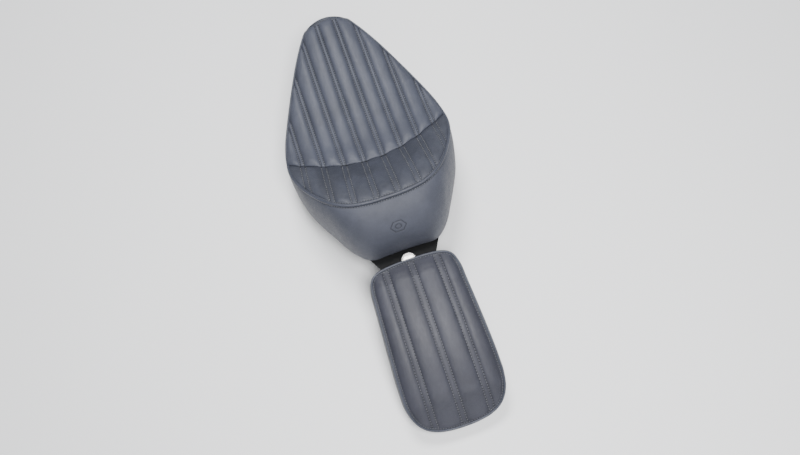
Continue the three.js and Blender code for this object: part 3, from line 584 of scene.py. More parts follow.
def thread(name, color):
    """Twisted thread: fine slanting strands, painted lighter on their crowns and darker between them as light
    and shade.
    """
    n = Nodes(name)
    waves = {"Vector": n.place, "Scale": 1 / (1.6 * MM), "Distortion": 1.0, "Detail": 1.0}
    strands = n.add("TexWave", waves, bands_direction="DIAGONAL").outputs["Fac"]
    # painted light and shade: each strand lighter on its crown, darker in the twist's grooves
    tone = n.mix(strands, shade(color, 0.6), shade(color, 1.25))
    tone = n.mix(n.ramp(n.noise(12), 0.4, 0.7), tone, shade(color, 0.9))
    return n.finish(Base_Color=tone, Roughness=n.ramp(strands, 0, 1, 0.7, 0.5),
                    Normal=n.bump(strands, 0.06), Sheen_Weight=0.3)


def plastic(name, color, roughness=0.55, stipple=0.5, gloss=0.45):
    """Moulded plastic or powder coat with a fine stipple, scuffed in places."""
    n = Nodes(name)
    grain = n.noise(stipple, 3, 0.6)
    scuffs = n.ramp(n.noise(26, 6, 0.7, warp=2.0), 0.52, 0.7)
    dust = n.ramp(n.noise(60, 4), 0.45, 0.75)
    tone = n.mix(n.math("MULTIPLY", dust, 0.5), color, shade(color, 1.9))
    tone = n.mix(n.math("MULTIPLY", scuffs, 0.3), tone, shade(color, 2.6))
    rough = n.math("ADD", n.ramp(grain, 0.3, 0.7, roughness - 0.06, roughness + 0.06),
                   n.math("MULTIPLY", scuffs, 0.12))
    return n.finish(Base_Color=tone, Roughness=rough, Normal=n.bump(grain, 0.08, strength=0.6),
                    Specular_IOR_Level=gloss)


def rubber(name, color):
    """Moulded rubber with a paler bloom."""
    n = Nodes(name)
    grain = n.noise(0.7, 4, 0.65)
    bloom = n.ramp(n.noise(9, 5, 0.6, warp=1.0), 0.45, 0.75)
    tone = n.mix(n.math("MULTIPLY", bloom, 0.6), color, shade(color, 2.4))
    return n.finish(Base_Color=tone, Roughness=n.ramp(bloom, 0, 1, 0.72, 0.88),
                    Normal=n.bump(grain, 0.07), Specular_IOR_Level=0.35)


def metal(name, color, roughness, turned_about=None, brush=0.0):
    """Plated or turned steel. turned_about is the (x, y) of a turning's axis in millimetres."""
    n = Nodes(name)
    stain = n.ramp(n.noise(7, 5, 0.6, warp=0.8), 0.4, 0.75)
    speck = n.noise(0.5, 3, 0.6)
    tone = n.mix(n.math("MULTIPLY", stain, 0.35), color, shade(color, 0.78))
    rough = n.math("ADD", n.ramp(stain, 0, 1, roughness - 0.03, roughness + 0.1),
                   n.math("MULTIPLY", speck, 0.06))
    normal = n.bump(speck, 0.012, strength=0.5)
    if turned_about is not None:
        centred = n.vector("SUBTRACT", n.place, (turned_about[0] * MM, turned_about[1] * MM, 0))
        radius = n.vector("LENGTH", n.vector("MULTIPLY", centred, (1, 1, 0)), output="Value")
        rings = n.math("SINE", n.math("MULTIPLY", radius, 2 * math.pi / (0.22 * MM)))
        normal = n.bump(rings, brush, normal, 0.5)
    return n.finish(Base_Color=tone, Roughness=rough, Metallic=1.0, Normal=normal)


CHARCOAL = (0.0425, 0.047, 0.065, 1)
# The top, band and pad use one leather in different tones: the top's lighter tone is painted light, the
# band's darker tone painted shade.
cover_leather = leather("seat_leather", shade(CHARCOAL, 1.16))
wrap_leather = leather("wrap_leather", (0.05, 0.054, 0.0725, 1), 0.53, mottle=0.08, gloss=0.34)  # duller
pad_leather = leather("pad_leather", (0.034, 0.0353, 0.0485, 1))  # less blue, and darker as painted shade
band_leather = leather("band_leather", shade(CHARCOAL, 0.84), 0.46, wrinkle=1.9, mottle=0.2)
welt_leather = leather("welt_leather", shade(CHARCOAL, 0.95), 0.42, wrinkle=0.4)
grey_thread = thread("grey_thread", (0.085, 0.091, 0.108, 1))
black_plastic = plastic("pan_plastic", (0.018, 0.018, 0.02, 1), 0.55, 0.9)
powder_coat = plastic("black_powder_coat", (0.003, 0.0033, 0.0038, 1), 0.5, 0.4, 0.12)
black_rubber = rubber("black_rubber", (0.014, 0.014, 0.015, 1))
zinc_plate = metal("zinc_plate", (0.56, 0.57, 0.6, 1), 0.34)
screw_steel = metal("turned_steel", (0.74, 0.715, 0.68, 1), 0.32, turned_about=(0, 0), brush=0.02)
staple_wire = metal("staple_wire", (0.5, 0.5, 0.52, 1), 0.3)


# ---------- relief of the upholstery, in millimetres ----------

def trough(distance, width):
    """1 on a line, falling to 0 beside it."""
    return np.exp(-(distance / width) ** 2)


def quilted(x, lines, ridge):
    """Relief across stitch lines, which alternate rib, strip, rib: 1 on a rib's crown, 0 on a line."""
    relief = np.zeros(np.shape(x))
    for n, (a, b) in enumerate(zip(lines[:-1], lines[1:])):
        off = np.abs(2 * (x - a) / (b - a) - 1)
        inner = np.clip(off, 0, 1)
        shape = ridge * np.sqrt(1 - inner ** 2) if n % 2 else (1 - inner ** 2.6) ** 0.72
        relief = np.where(off <= 1, shape, relief)
    return relief


def stitch_wave(distance):
    """Swings once a stitch."""
    return np.cos(distance * 2 * math.pi / STITCH)


def nearest(x, lines):
    """Distance to the nearest of the stitch lines."""
    return np.min([np.abs(x - line) for line in lines], axis=0)


def even(path, start, end, pitch):
    """Parameter values from start to end whose points on path are about pitch apart."""
    fine = np.linspace(start, end, 800)
    run = arc(path(fine))
    return np.interp(np.linspace(0, run[-1], max(2, int(round(run[-1] / pitch))) + 1), run, fine)


SEAM_HALF = float(seat_edge(SEAM_END)[0])
PAIRS = [(n - (PAIR_COUNT - 1) / 2) * RIB for n in range(PAIR_COUNT)]


def pair_lines(pair):
    """All stitch lines across the ribbed panels, between two lines beyond their edges."""
    lines = [side for centre in PAIRS for side in (centre - pair, centre + pair)]
    return [-SEAM_HALF - 14] + lines + [SEAM_HALF + 14]


TOP_LINES = pair_lines(TOP_PAIR)
BAND_LINES = pair_lines(BAND_PAIR)
TOP_LENGTH = NOSE_Y - SEAM_Y
ROW_INSET = 1.3  # a stitch row's distance from the side of the welt


def top_relief(u, v, points):
    """How far the ribbed top's leather is raised, and the marks that its material reads."""
    edge = (1 - np.abs(u)) * seat_edge(lerp(SEAM_END, NOSE_CORNER, v))[..., 0]
    seam, front = v * TOP_LENGTH, (1 - v) * TOP_LENGTH
    swell = quilted(points[..., 0], TOP_LINES, TOP_QUILT["strip"])
    swell = swell * dome(seam, 15) * dome(edge, 10) * dome(front - 5, 16)
    sink = TOP_QUILT["sink"] * dome(seam, 9) * dome(edge, 8) * dome(front - 6, 10)
    line = nearest(points[..., 0], TOP_LINES[1:-1])
    pucker = 0.2 * stitch_wave(points[..., 1]) * trough(line - 1.6, 1.5)
    soft = fractal(points, 24) * np.clip(swell * 2, 0, 1)
    lift = TOP_QUILT["rise"] * swell - sink + pucker + 0.4 * soft
    # painted shade: the material darkens the stitch lines, the cross seam and the panel's edge by this mask
    crease = np.maximum(trough(line, 0.9) * (front > 7), 0.25 * trough(seam, 0.9))
    return lift, {"crease": np.maximum(crease, 0.6 * trough(edge, 1.6)), "row": trough(line, 0.8),
                  "phase": points[..., 1] / STITCH}


def band_relief(u, _, points):
    """The bolster band's relief and marks: flatter ribs that fan out to the welt."""
    x = u * SEAM_HALF
    down = arc(points)
    welt = down[-1:] - down
    swell = quilted(x, BAND_LINES, BAND_QUILT["strip"]) * dome(down, 8) * dome(welt - 2, 8)
    line = nearest(x, BAND_LINES[1:-1])
    beside = welt - SEAT_BEAD - ROW_INSET
    pucker = 0.16 * stitch_wave(down) * trough(line - 1.6, 1.6)
    soft = fractal(points, 15, 3.1) + 0.6 * fractal(points, 7.5, 8.3)
    soft = 0.4 * soft * np.clip(swell * 2.5, 0, 1)
    lift = BAND_QUILT["rise"] * swell - BAND_QUILT["sink"] + pucker + soft
    # painted shade: darkens the stitch lines, the band's foot at the cross seam and the groove beside the
    # welt
    crease = np.maximum(0.9 * trough(line, 0.9), 0.3 * trough(down, 1.2))
    near_welt = np.abs(beside) < 2.2
    return lift, {"crease": np.maximum(crease, trough(welt - SEAT_BEAD, 1.2)),
                  "row": np.where(near_welt, trough(beside, 0.7), trough(line, 0.75)),
                  "phase": np.where(near_welt, arc(points, 1), down) / STITCH}


MARK_S = 0.485  # how far down the rear wrap the debossed mark is
MARK = {"wide": 11.0, "high": 8.6, "groove": 0.62, "depth": 0.75, "core": 0.42}
WRAP_ROW = SEAT_BEAD + 1.2


def mark_groove(x, y):
    """A plain debossed hexagon round a small ring."""
    x, y = x / MARK["wide"], y / MARK["high"]
    hexagon = np.maximum(np.abs(y), 0.5 * np.abs(y) + 0.866 * np.abs(x))
    ring = np.hypot(x, y)
    width = MARK["groove"] / MARK["high"]
    return np.maximum(trough(hexagon - 1, width), trough(ring - MARK["core"], width))


def wrap_relief(t, s, points):
    """The smooth wrap's relief and marks: soft hollows, a stitch row and the debossed mark."""
    down = arc(points)
    centre = points.shape[1] // 2
    mark = np.interp(MARK_S, s[:, centre], down[:, centre])
    groove = mark_groove(points[..., 0], down - mark) * (np.abs(t) < 2)
    row = down - WRAP_ROW
    corner = trough(np.abs(t) - 3.4, 1.5) * smooth(s / 0.4)
    soft = 0.5 * fractal(points, 55) + 0.55 * corner * fractal(points, 17, 5.7)
    lift = 0.5 * np.sin(np.clip(s, 0, 1) * math.pi) + soft * smooth(down / 14) \
        - MARK["depth"] * groove - 0.7 * trough(down, 2.6) - 0.25 * trough(row, 0.8)
    # painted shade: darkens the stitch row, the mark's groove and the groove under the welt
    crease = np.maximum(0.6 * trough(row, 0.8), 0.95 * groove)
    return lift, {"crease": np.maximum(crease, 0.9 * trough(down - SEAT_BEAD + 0.3, 1.0)),
                  "row": trough(row, 0.7), "phase": arc(points, 1) / STITCH}


# ---------- rider seat pieces ----------

def lifted(surface, relief, toward, a, b):
    """A grid of the surface raised by its relief, its unit normals, and its attributes."""
    b, a = np.meshgrid(b, a, indexing="ij")
    points = surface(a, b)
    normal = normals_of(surface, a, b, toward)
    lift, attributes = relief(a, b, points)
    return points + lift[..., None] * normal, normal, attributes


def sampler(outer, normal, phase, a, b):
    """Reads a relief grid at any (a, b), for the thread that lies on it."""
    def at(a_values, b_values):
        i = np.interp(a_values, a, np.arange(len(a)))
        j = np.interp(b_values, b, np.arange(len(b)))
        i0, j0 = np.minimum(i.astype(int), len(a) - 2), np.minimum(j.astype(int), len(b) - 2)
        ki, kj = (i - i0)[:, None], (j - j0)[:, None]
        found = [lerp(lerp(g[j0, i0], g[j0, i0 + 1], ki), lerp(g[j0 + 1, i0], g[j0 + 1, i0 + 1], ki), kj)
                 for g in (outer, normal, phase[..., None])]
        return found[0], found[1], found[2][:, 0]
    return at


def hide(name, outer, normal, material, **settings):
    """A sheet of leather with its outer face at those points."""
    return shell(name, outer, outer - COVER * normal, material, **settings)


def stand_in(obj, body, slot, *nodes, fill=None):
    """The piece stands for those CAD nodes, which it hides; fill is not used."""
    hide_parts(*nodes)
    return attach(obj, body)


def crowded(count, spread=COLUMN_SPREAD):
    """Places from -1 to 1 that lie closer together towards both ends."""
    return np.sin(np.linspace(-1, 1, count) * spread) / math.sin(spread)


def crossing(surface, x, along, half):
    """How far across a panel, at each place along it, its surface reaches that x."""
    across = x / half
    for _ in range(3):
        across = across + (x - surface(across, along)[:, 0]) / half
    return across


def folded_hem(points, t, round_over, rows, pleat, size, seed):
    """A cover's lower edge: rounded over, then folded in under the pan in small pleats.

    rows are how many rows of points the round corner and the flat hem have, and pleat and size are a pleat's
    height and width.
    """
    corner_rows, flat_rows = rows
    turn = np.linspace(0, math.pi / 2, corner_rows + 1)[1:]
    folds = [(round_over * (1 - math.cos(a)), round_over * (1 - math.sin(a))) for a in turn]
    folds += [(d, 0.0) for d in np.linspace(round_over, HEM, flat_rows + 1)[1:]]
    hem = np.stack([inset(points, t, d) + stack(0, 0, z) for d, z in folds])
    growing = np.linspace(0, 1, len(folds))[:, None]
    hem[..., 2] += pleat * np.clip(fractal(hem, size, seed), 0, 1) * growing
    return hem


def marked_wall(marks, hem):
    """A wall's attributes, followed by zeros for its hem."""
    return {key: np.concatenate([values, np.zeros(hem.shape[:2])]) for key, values in marks.items()}


def beaded(radius, count):
    """Radii along a welt, which its stitches draw in a little."""
    return radius * (1 + BEAD_PULL * stitch_wave(np.arange(count) * WELT_STEP))


seams = []  # the rider seat's stitch lines, as (points, normals, phase)


def top_cover():
    """The ribbed top and its stitch lines."""
    u = crowded(TOP_COLUMNS)
    v = np.linspace(0, 1, TOP_ROWS) ** 0.96
    outer, normal, marks = lifted(top_panel, top_relief, 1, u, v)
    at = sampler(outer, normal, marks["phase"], u, v)
    obj = hide("rider_top_cover", outer, normal, cover_leather, **marks)
    stand_in(obj, "rider_seat", "leather", "top_panel", "top_quilting", fill=0.75)
    along = np.linspace(0.008, 0.972, 260)
    half = seat_edge(lerp(SEAM_END, NOSE_CORNER, along))[:, 0]
    for x in TOP_LINES[1:-1]:
        across = crossing(top_panel, x, along, half)
        inside = np.abs(across) < 1 - 3.5 / half
        seams.append(at(across[inside], along[inside]))


def band_cover():
    """The bolster band, its stitch lines and the row beside the welt."""
    u = crowded(TOP_COLUMNS)
    s = np.linspace(0, 1, BAND_ROWS)
    outer, normal, marks = lifted(bolster, band_relief, -1, u, s)
    base = bolster(*np.meshgrid(u, s))
    length, round_seat = arc(base), arc(base, 1)
    at = sampler(outer, normal, length / STITCH, u, s)
    at_row = sampler(outer, normal, round_seat / STITCH, u, s)
    obj = hide("bolster_cover", outer, normal, band_leather, flip=True, **marks)
    stand_in(obj, "rider_seat", "band_leather", "bolster_band", "band_quilting", fill=0.6)
    beside = length[-1] - SEAT_BEAD - ROW_INSET
    for x in BAND_LINES[1:-1]:
        column = np.interp(x / SEAM_HALF, u, np.arange(len(u)))
        stop = np.interp(np.interp(column, np.arange(len(u)), beside), length[:, int(column)], s)
        along = np.linspace(0.02, stop, 90)
        seams.append(at(np.full(along.shape, x / SEAM_HALF), along))
    shown = np.abs(u) < 0.985
    row = np.array([np.interp(beside[i], length[:, i], s) for i in np.flatnonzero(shown)])
    seams.append(at_row(u[shown], row))


def wrap_cover():
    """The wrap, its rounded lower edge and the hem folded under the pan, as one sheet round the seat."""
    round_over = 1.8
    mark_side, mark_top, mark_foot = 0.62, 0.36, 0.61  # the points lie closer together round the mark
    rear = even(lambda t: side_wrap(t, np.full(t.shape, MARK_S)), 0, mark_side, 0.55)
    rest = even(lambda t: rail(SEAT_HEM, t), mark_side, SEAT_END, 1.5)
    t = both_sides(np.concatenate([rear, rest[1:]]), closed=True)
    s = np.unique(np.concatenate([np.linspace(0, mark_top, 26), np.linspace(mark_top, mark_foot, 42),
                                  np.linspace(mark_foot, 1, 26)]))
    s_grid, t_grid = np.meshgrid(s, t, indexing="ij")
    wall = side_wrap(t_grid, s_grid) + stack(0, 0, round_over * s_grid ** 4)
    normal = -grid_normals(wall, True)
    down = arc(wall)
    lift, marks = wrap_relief(t_grid, s_grid, wall)
    wall = wall + lift[..., None] * normal
    hem = folded_hem(SEAT_HEM, t, round_over, rows=(5, 8), pleat=0.5, size=6.5, seed=2.2)
    outer = np.concatenate([wall, hem])
    normal = -grid_normals(outer, True)
    marks = marked_wall(marks, hem)
    obj = hide("side_wrap_cover", outer, normal, wrap_leather, flip=True, round_columns=True, **marks)
    stand_in(obj, "rider_seat", "leather", "side_wrap", "seat_foam", fill=0.85)
    at = sampler(wall, normal[:len(s)], marks["phase"][:len(s)], t, s)
    shown = np.abs(t) < NOSE_CORNER - 0.4
    row = np.array([np.interp(WRAP_ROW, down[:, i], s) for i in np.flatnonzero(shown)])
    seams.append(at(t[shown], row))


def seat_welt():
    """The welt on the rider seat's edge, slimmer beside the top, its ends tucked under the nose trim."""
    t = both_sides(even(seat_edge, 0, NOSE_CORNER + 0.2, WELT_STEP))
    tuck = smooth((np.abs(t) - NOSE_CORNER + 0.5) / 0.6)
    path = seat_edge(t) + stack(0, 0, 0.7 - 1.6 * tuck)
    radii = lerp(SEAT_BEAD, SLIM_BEAD, smooth((np.abs(t) - BAND_END) / 1.2)) * (1 - 0.45 * tuck)
    obj = bead("seat_welt_bead", path, beaded(radii, len(t)), welt_leather)
    stand_in(obj, "rider_seat", "welt_leather", "welt_bead")


def nose_trim():
    """The stitched binding folded over the nose's front edge, tapering into the welt at both ends."""
    u = np.linspace(-1, 1, 150)
    width, drop = 8.5, 0.3
    back = np.linspace(width / TOP_LENGTH, 0.3 / TOP_LENGTH, 14)
    top = top_panel(*np.meshgrid(u, 1 - back))
    front = side_wrap(*np.meshgrid(nose_rail(u), np.linspace(0.01, drop, 14)))
    path = np.concatenate([top, front])
    for _ in range(3):
        path[1:-1] = (path[:-2] + 2 * path[1:-1] + path[2:]) / 4
    normal = -grid_normals(path)
    taper = dome((1 - np.abs(u)) * 34 + 0.4, 6)[None, :, None]
    k = np.linspace(0, 1, len(path))[:, None, None]
    beside = (k - 0.2) * 24
    rise = (0.5 + 1.5 * np.sin(k * math.pi) ** 0.5) * taper - 0.35 * trough(beside, 0.9)
    outer = path + rise * normal
    row = np.broadcast_to(trough(beside[..., 0], 0.7), outer.shape[:2])
    phase = arc(outer, 1) / STITCH
    # painted shade along the binding's stitch row
    obj = shell("nose_trim", outer, path - 0.6 * normal, band_leather, flip=True, crease=0.4 * row, row=row,
                phase=phase)
    stand_in(obj, "rider_seat", "band_leather", "nose_binding")
    stitched = int(round(0.2 * (len(path) - 1)))
    seams.append((outer[stitched, 4:-4], normal[stitched, 4:-4], phase[stitched, 4:-4]))


def ribs_of(sizes, x, y, clear):
    """Relief of a pan's stiffening ribs. The cross ribs have the share of their height that clear says."""
    height = sizes["height"]
    long_ribs = [height * trough(np.abs(x) - place, RIB_WALL) for place in sizes["along"]]
    cross_ribs = [height * trough(y - place, RIB_WALL) * clear for place in sizes["across"]]
    return np.max(long_ribs + cross_ribs, axis=0)


def rider_pan():
    """Moulded pan with its backbone channel and stiffening ribs on the underside."""
    u = np.linspace(-1, 1, 181)
    t = np.linspace(PAN_REAR, NOSE_CORNER, 260)
    t_grid, u_grid = np.meshgrid(t, u, indexing="ij")
    low = pan_floor(u_grid, t_grid)
    x, y, _ = np.moveaxis(low, -1, 0)
    ends = smooth((y - SEAT_RIBS["rear"]) / 8) * smooth((SEAT_RIBS["front"] - y) / 8)
    inside = smooth((1 - np.abs(u_grid)) / 0.08) * ends
    ribs = ribs_of(SEAT_RIBS, x, y, clear=smooth((np.abs(x) - RIB_CLEAR) / 4))
    high = low + stack(0, 0, PAN)
    obj = shell("rider_pan", low - stack(0, 0, ribs * inside), high, black_plastic, flip=True, sharp=50)
    stand_in(obj, "rider_seat", "pan_plastic", "seat_pan")


def staples(name, points, start, end, body, place=lambda p: p):
    """Wire staples that hold a hem to a pan, one about every 17 mm."""
    parts, faces = [], []
    legs = ((-4.9, 1.2), (-4.9, 0.1), (-4.5, -0.3), (4.5, -0.3), (4.9, 0.1), (4.9, 1.2))
    radius, sides = 0.45, 8
    half = even(lambda t: rail(points, t), start, end, 17)
    for n, t in enumerate(np.concatenate([-half[::-1], half])):
        here, there = inset(points, t + 0.02, HEM * 0.6), inset(points, t - 0.02, HEM * 0.6)
        along = (here - there) / np.linalg.norm(here - there)
        lean = 0.35 * math.sin(n * 2.4)
        along = stack(along[0] * math.cos(lean) - along[1] * math.sin(lean),
                      along[0] * math.sin(lean) + along[1] * math.cos(lean), along[2])
        wire = [(here + there) / 2 + along * x + np.array([0, 0, z - 0.2]) for x, z in legs]
        ring = place(tube(np.array(wire), np.full(len(legs), radius), sides, up=(0.01, 0.02, 1)))
        faces += tube_faces(len(legs), sides, start=len(parts) * len(legs) * sides)
        parts.append(ring.reshape(-1, 3))
    obj = build(name, np.concatenate(parts), faces, staple_wire, sharp=40)
    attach(obj, body)


# ---------- hardware ----------

def middle(node):
    """A CAD node's middle and its lowest and highest corners, in millimetres."""
    low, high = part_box(node)
    return np.array((low + high) / 2) / MM, np.array(low) / MM, np.array(high) / MM


def thumb_screw():
    """Knurled knob with a chamfered rim and a recessed turned face, on a threaded shank."""
    _, low, high = middle("thumb_screw")
    knob, base, top, tip, shank = high[0], 9.4, high[2], low[2], 3.1
    thread_rows = [(shank, z) for z in np.arange(tip + 1.2, 1.5, 0.11)]
    grip_rows = [(knob, z) for z in np.linspace(base + 1.5, top - 1.9, 24)]
    profile = [(1.4, tip), (2.3, tip + 0.25), *thread_rows, (shank - 0.25, 1.8), (shank - 0.25, base - 1.2),
               (5.2, base - 0.9), (5.2, base), (knob - 2.4, base), (knob - 1.2, base + 0.4),
               (knob - 0.3, base + 1.2), *grip_rows, (knob - 0.25, top - 1.6), (knob - 0.9, top - 0.9),
               (knob - 1.9, top - 0.12), (knob - 2.3, top), (knob - 2.7, top - 0.1), (knob - 3.1, top - 0.8),
               (knob - 3.6, top - 0.95), (6, top - 0.9), (0.8, top - 0.86), (0.3, top - 0.86)]
    teeth = 60

    def relief(turn, r, z):
        helix = (z / SCREW_PITCH - turn / (2 * math.pi)) % 1
        cut_thread = -0.55 * np.abs(2 * helix - 1) * smooth((z - tip - 0.6) / 1.2) * smooth((1.5 - z) / 0.8)
        slant = (z - base) * 0.9
        cross = [np.abs(np.sin(teeth / 2 * turn + lean)) for lean in (slant, -slant)]
        grip = -0.5 * (1 - np.clip(np.minimum(*cross) * 2.2, 0, 1))
        at_grip = smooth((z - base - 1.4) / 0.5) * smooth((top - 1.8 - z) / 0.5) * (r > knob - 0.1)
        return np.where((r > shank - 0.01) & (r < shank + 0.01), cut_thread, grip * at_grip)

    obj = turned("seat_screw", profile, screw_steel, sides=480, relief=relief, sharp=40)
    stand_in(obj, "screw", "bright_steel", "thumb_screw")


def ring_profile(inner, outer, low, high, ease):
    """A washer's section, with eased outer edges."""
    return [(inner, low), (outer - ease, low), (outer, low + ease), (outer, high - ease),
            (outer - ease, high), (inner, high)]


def washers_and_nut():
    """The two captive washers, and the threaded insert under the fender."""
    for node, material, slot, inner, ease in (("rubber_washer", black_rubber, "rubber", 3.6, 0.4),
                                              ("flat_washer", zinc_plate, "zinc", 3.6, 0.25)):
        _, low, high = middle(node)
        profile = ring_profile(inner, high[0], low[2], high[2], ease)
        stand_in(turned(node + "_ring", profile, material), "captive_washers", slot, node)
    _, low, high = middle("fender_nut")
    bore, barrel, flange, step = 3.35, 7.6, high[0], -4.0
    threads = [(bore, z) for z in np.arange(high[2] - 0.6, low[2] + 0.6, -0.12)]
    profile = [(bore + 0.5, low[2]), (barrel - 0.8, low[2]), (barrel, low[2] + 0.8), (barrel, step - 0.3),
               (barrel + 0.3, step), (flange - 0.4, step), (flange, step + 0.4), (flange, high[2] - 0.3),
               (flange - 0.3, high[2]), (bore + 0.5, high[2]), *threads]

    def relief(turn, r, z):
        knurl = -0.28 * (1 - np.abs(np.sin(20 * turn))) * (np.abs(r - barrel) < 0.01)
        helix = (z / SCREW_PITCH - turn / (2 * math.pi)) % 1
        return knurl + 0.4 * np.abs(2 * helix - 1) * (np.abs(r - bore) < 0.01)

    obj = turned("fender_insert", profile, zinc_plate, sides=240, relief=relief)
    stand_in(obj, "rider_seat", "zinc", "fender_nut")


def rivet_profile(length):
    """A domed head with a flat rim and its shank, standing on the head's crown at height 0."""
    head = 4.6
    dome_rows = [(head * math.sin(a), 1.45 * (1 - math.cos(a))) for a in np.linspace(0.1, 1.45, 9)]
    return [*dome_rows, (head + 0.05, 1.5), (head, 1.75), (2.3, 1.8), (2.2, length)]


RIVETS = {"rider_seat": ("plate_rivet_left", "plate_rivet_right", "hook_rivet_rear", "hook_rivet_front"),
          "passenger_pad": ("fork_rivet_left", "fork_rivet_right")}
FORK_RIVET = {"y": -62.0, "h": 1.75, "tilt": math.radians(9.15), "length": 10.0}  # on the unrolled pad


def rivets():
    """Domed rivets through the steel plates."""
    for body, nodes in RIVETS.items():
        for node in nodes:
            centre, low, high = middle(node)
            place, length, tilt = (centre[0], centre[1], low[2]), high[2] - low[2], 0.0
            if body == "passenger_pad":
                place = bend(np.array([centre[0], FORK_RIVET["y"], FORK_RIVET["h"]]))
                length, tilt = FORK_RIVET["length"], FORK_RIVET["tilt"]
            obj = turned(node + "_head", rivet_profile(length), zinc_plate, place, tilt, sides=48)
            stand_in(obj, body, "zinc", node)


def cushion_profile(foot, wide, neck, height, stem):
    """A rubber bumper: chamfered foot with a shallow well, waisted body and moulded stem."""
    return [(2.6, 0.9), (3.6, 0.15), (foot - 0.5, 0), (foot, 0.25), (wide - 0.25, 1.4), (wide, 2.1),
            (lerp(wide, neck, 0.35), height * 0.42), (lerp(wide, neck, 0.55), height * 0.5),
            (lerp(wide, neck, 0.42), height * 0.58), (neck + 0.5, height - 1.4), (neck + 0.7, height - 0.6),
            (neck, height - 0.1), (2.2, height), (2.2, height + stem)]


PAD_FEET = {"rear": (56, -205), "front": (54, -40)}  # places on the unrolled pad, on its right


def bumpers():
    """The rubber bumpers under the rider seat, and the feet under the pad."""
    for end in ("rear", "front"):
        for hand in ("left", "right"):
            node = f"bumper_{end}_{hand}"
            centre, low, high = middle(node)
            profile = cushion_profile(11, 12.5, 10, high[2] - low[2] - PAN, PAN - 0.1)
            obj = turned(node + "_rubber", profile, black_rubber, (centre[0], centre[1], low[2]))
            stand_in(obj, "rider_seat", "rubber", node)
            node = f"pad_foot_{end}_{hand}"
            side = -1 if hand == "left" else 1
            x, y = PAD_FEET[end]
            place = bend(np.array([side * x, float(y), 0.0]))
            profile = cushion_profile(8, 9, 7.5, PAD_PAN_H - 0.9, PAN - 0.1)
            obj = turned(node + "_rubber", profile, black_rubber, place, -y / FENDER_R)
            stand_in(obj, "passenger_pad", "rubber", node)


def steelwork():
    """The stamped plates stay as CAD made them, with eased edges and a powder-coat finish."""
    for node in ("mount_plate", "front_hook", "pad_fork"):
        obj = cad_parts[node]
        obj.data.materials.clear()
        obj.data.materials.append(powder_coat)
        weld = obj.modifiers.new("weld", "WELD")
        weld.merge_threshold = 1e-5
        ease = obj.modifiers.new("eased_edges", "BEVEL")
        ease.width, ease.segments, ease.limit_method = 0.5 * MM, 3, "ANGLE"
        ease.angle_limit = math.radians(35)
        ease.harden_normals = True


# ---------- passenger pad pieces ----------

PAD_ROW = PAD_BEAD + 1.1  # perimeter stitch row's distance from the welt's middle
pad_seams = []  # the pad's stitch lines, as (points, normals, phase)


def pad_lines(t):
    """Stitch lines across the pad at each place along it, between its two perimeter rows."""
    along = rail(PAD_EDGE, np.clip(t, PAD_REAR + 0.6, PAD_FRONT - 0.6))
    back = np.clip(-along[..., 1] / 250, 0, 1)
    outer = lerp(PAD_LINE[0], PAD_LINE[1], back)
    edge = along[..., 0] - PAD_ROW
    return [-edge, -outer - PAD_PAIR, -outer + PAD_PAIR, 0 * outer - PAD_PAIR, 0 * outer + PAD_PAIR,
            outer - PAD_PAIR, outer + PAD_PAIR, edge]


def pad_relief(u, t, points):
    """The pad's relief and marks: wide ribs, three stitched strips and a row round its edge."""
    lines = pad_lines(t)
    x = points[..., 0]
    flat_y = pad_patch(u, t)[..., 1]
    half = rail(PAD_EDGE, t)[..., 0]
    rear_y, front_y = pad_end(x, -1), pad_end(x, 1)
    ends = np.minimum(flat_y - rear_y, front_y - flat_y)
    edge = np.minimum((1 - np.abs(u)) * half, ends)
    swell = quilted(x, lines, PAD_QUILT["strip"]) * dome(edge - 1, 17)
    sink = PAD_QUILT["sink"] * dome(edge - 1, 12)
    line = nearest(x, lines[1:-1])
    stitched = smooth((edge - PAD_ROW + 0.6) / 0.6)
    row = edge - PAD_ROW
    pucker = 0.22 * stitch_wave(flat_y) * trough(line - 1.7, 1.7) * stitched
    soft = fractal(points, 26, 1.7) * np.clip(swell * 2, 0, 1)
    lift = PAD_QUILT["rise"] * swell - sink + pucker + 0.35 * soft - 0.3 * trough(row, 0.9)
    # painted shade: darkens the stitch lines, the perimeter row and the groove beside the welt
    crease = np.maximum(0.7 * trough(line, 0.9) * stitched, 0.5 * trough(row, 0.8))
    round_pad = np.where(ends < (1 - np.abs(u)) * half, x, flat_y)
    near_edge = np.abs(row) < 1.6
    return lift, {"crease": np.maximum(crease, 0.6 * trough(edge - 0.8, 1.0)),
                  "row": np.where(near_edge, trough(row, 0.75), trough(line, 0.8) * stitched),
                  "phase": np.where(near_edge, round_pad, flat_y) / STITCH}


def pad_end(x, end):
    """How far along the unrolled pad its rear (-1) or front (1) welt lies, at each x."""
    t = np.linspace(0, PAD_REAR, 60) if end < 0 else np.linspace(PAD_END, PAD_FRONT, 60)
    line = rail(PAD_EDGE, t)
    beyond = -1e3 if end < 0 else 1e3
    return np.interp(np.abs(x), line[:, 0], line[:, 1], right=beyond)


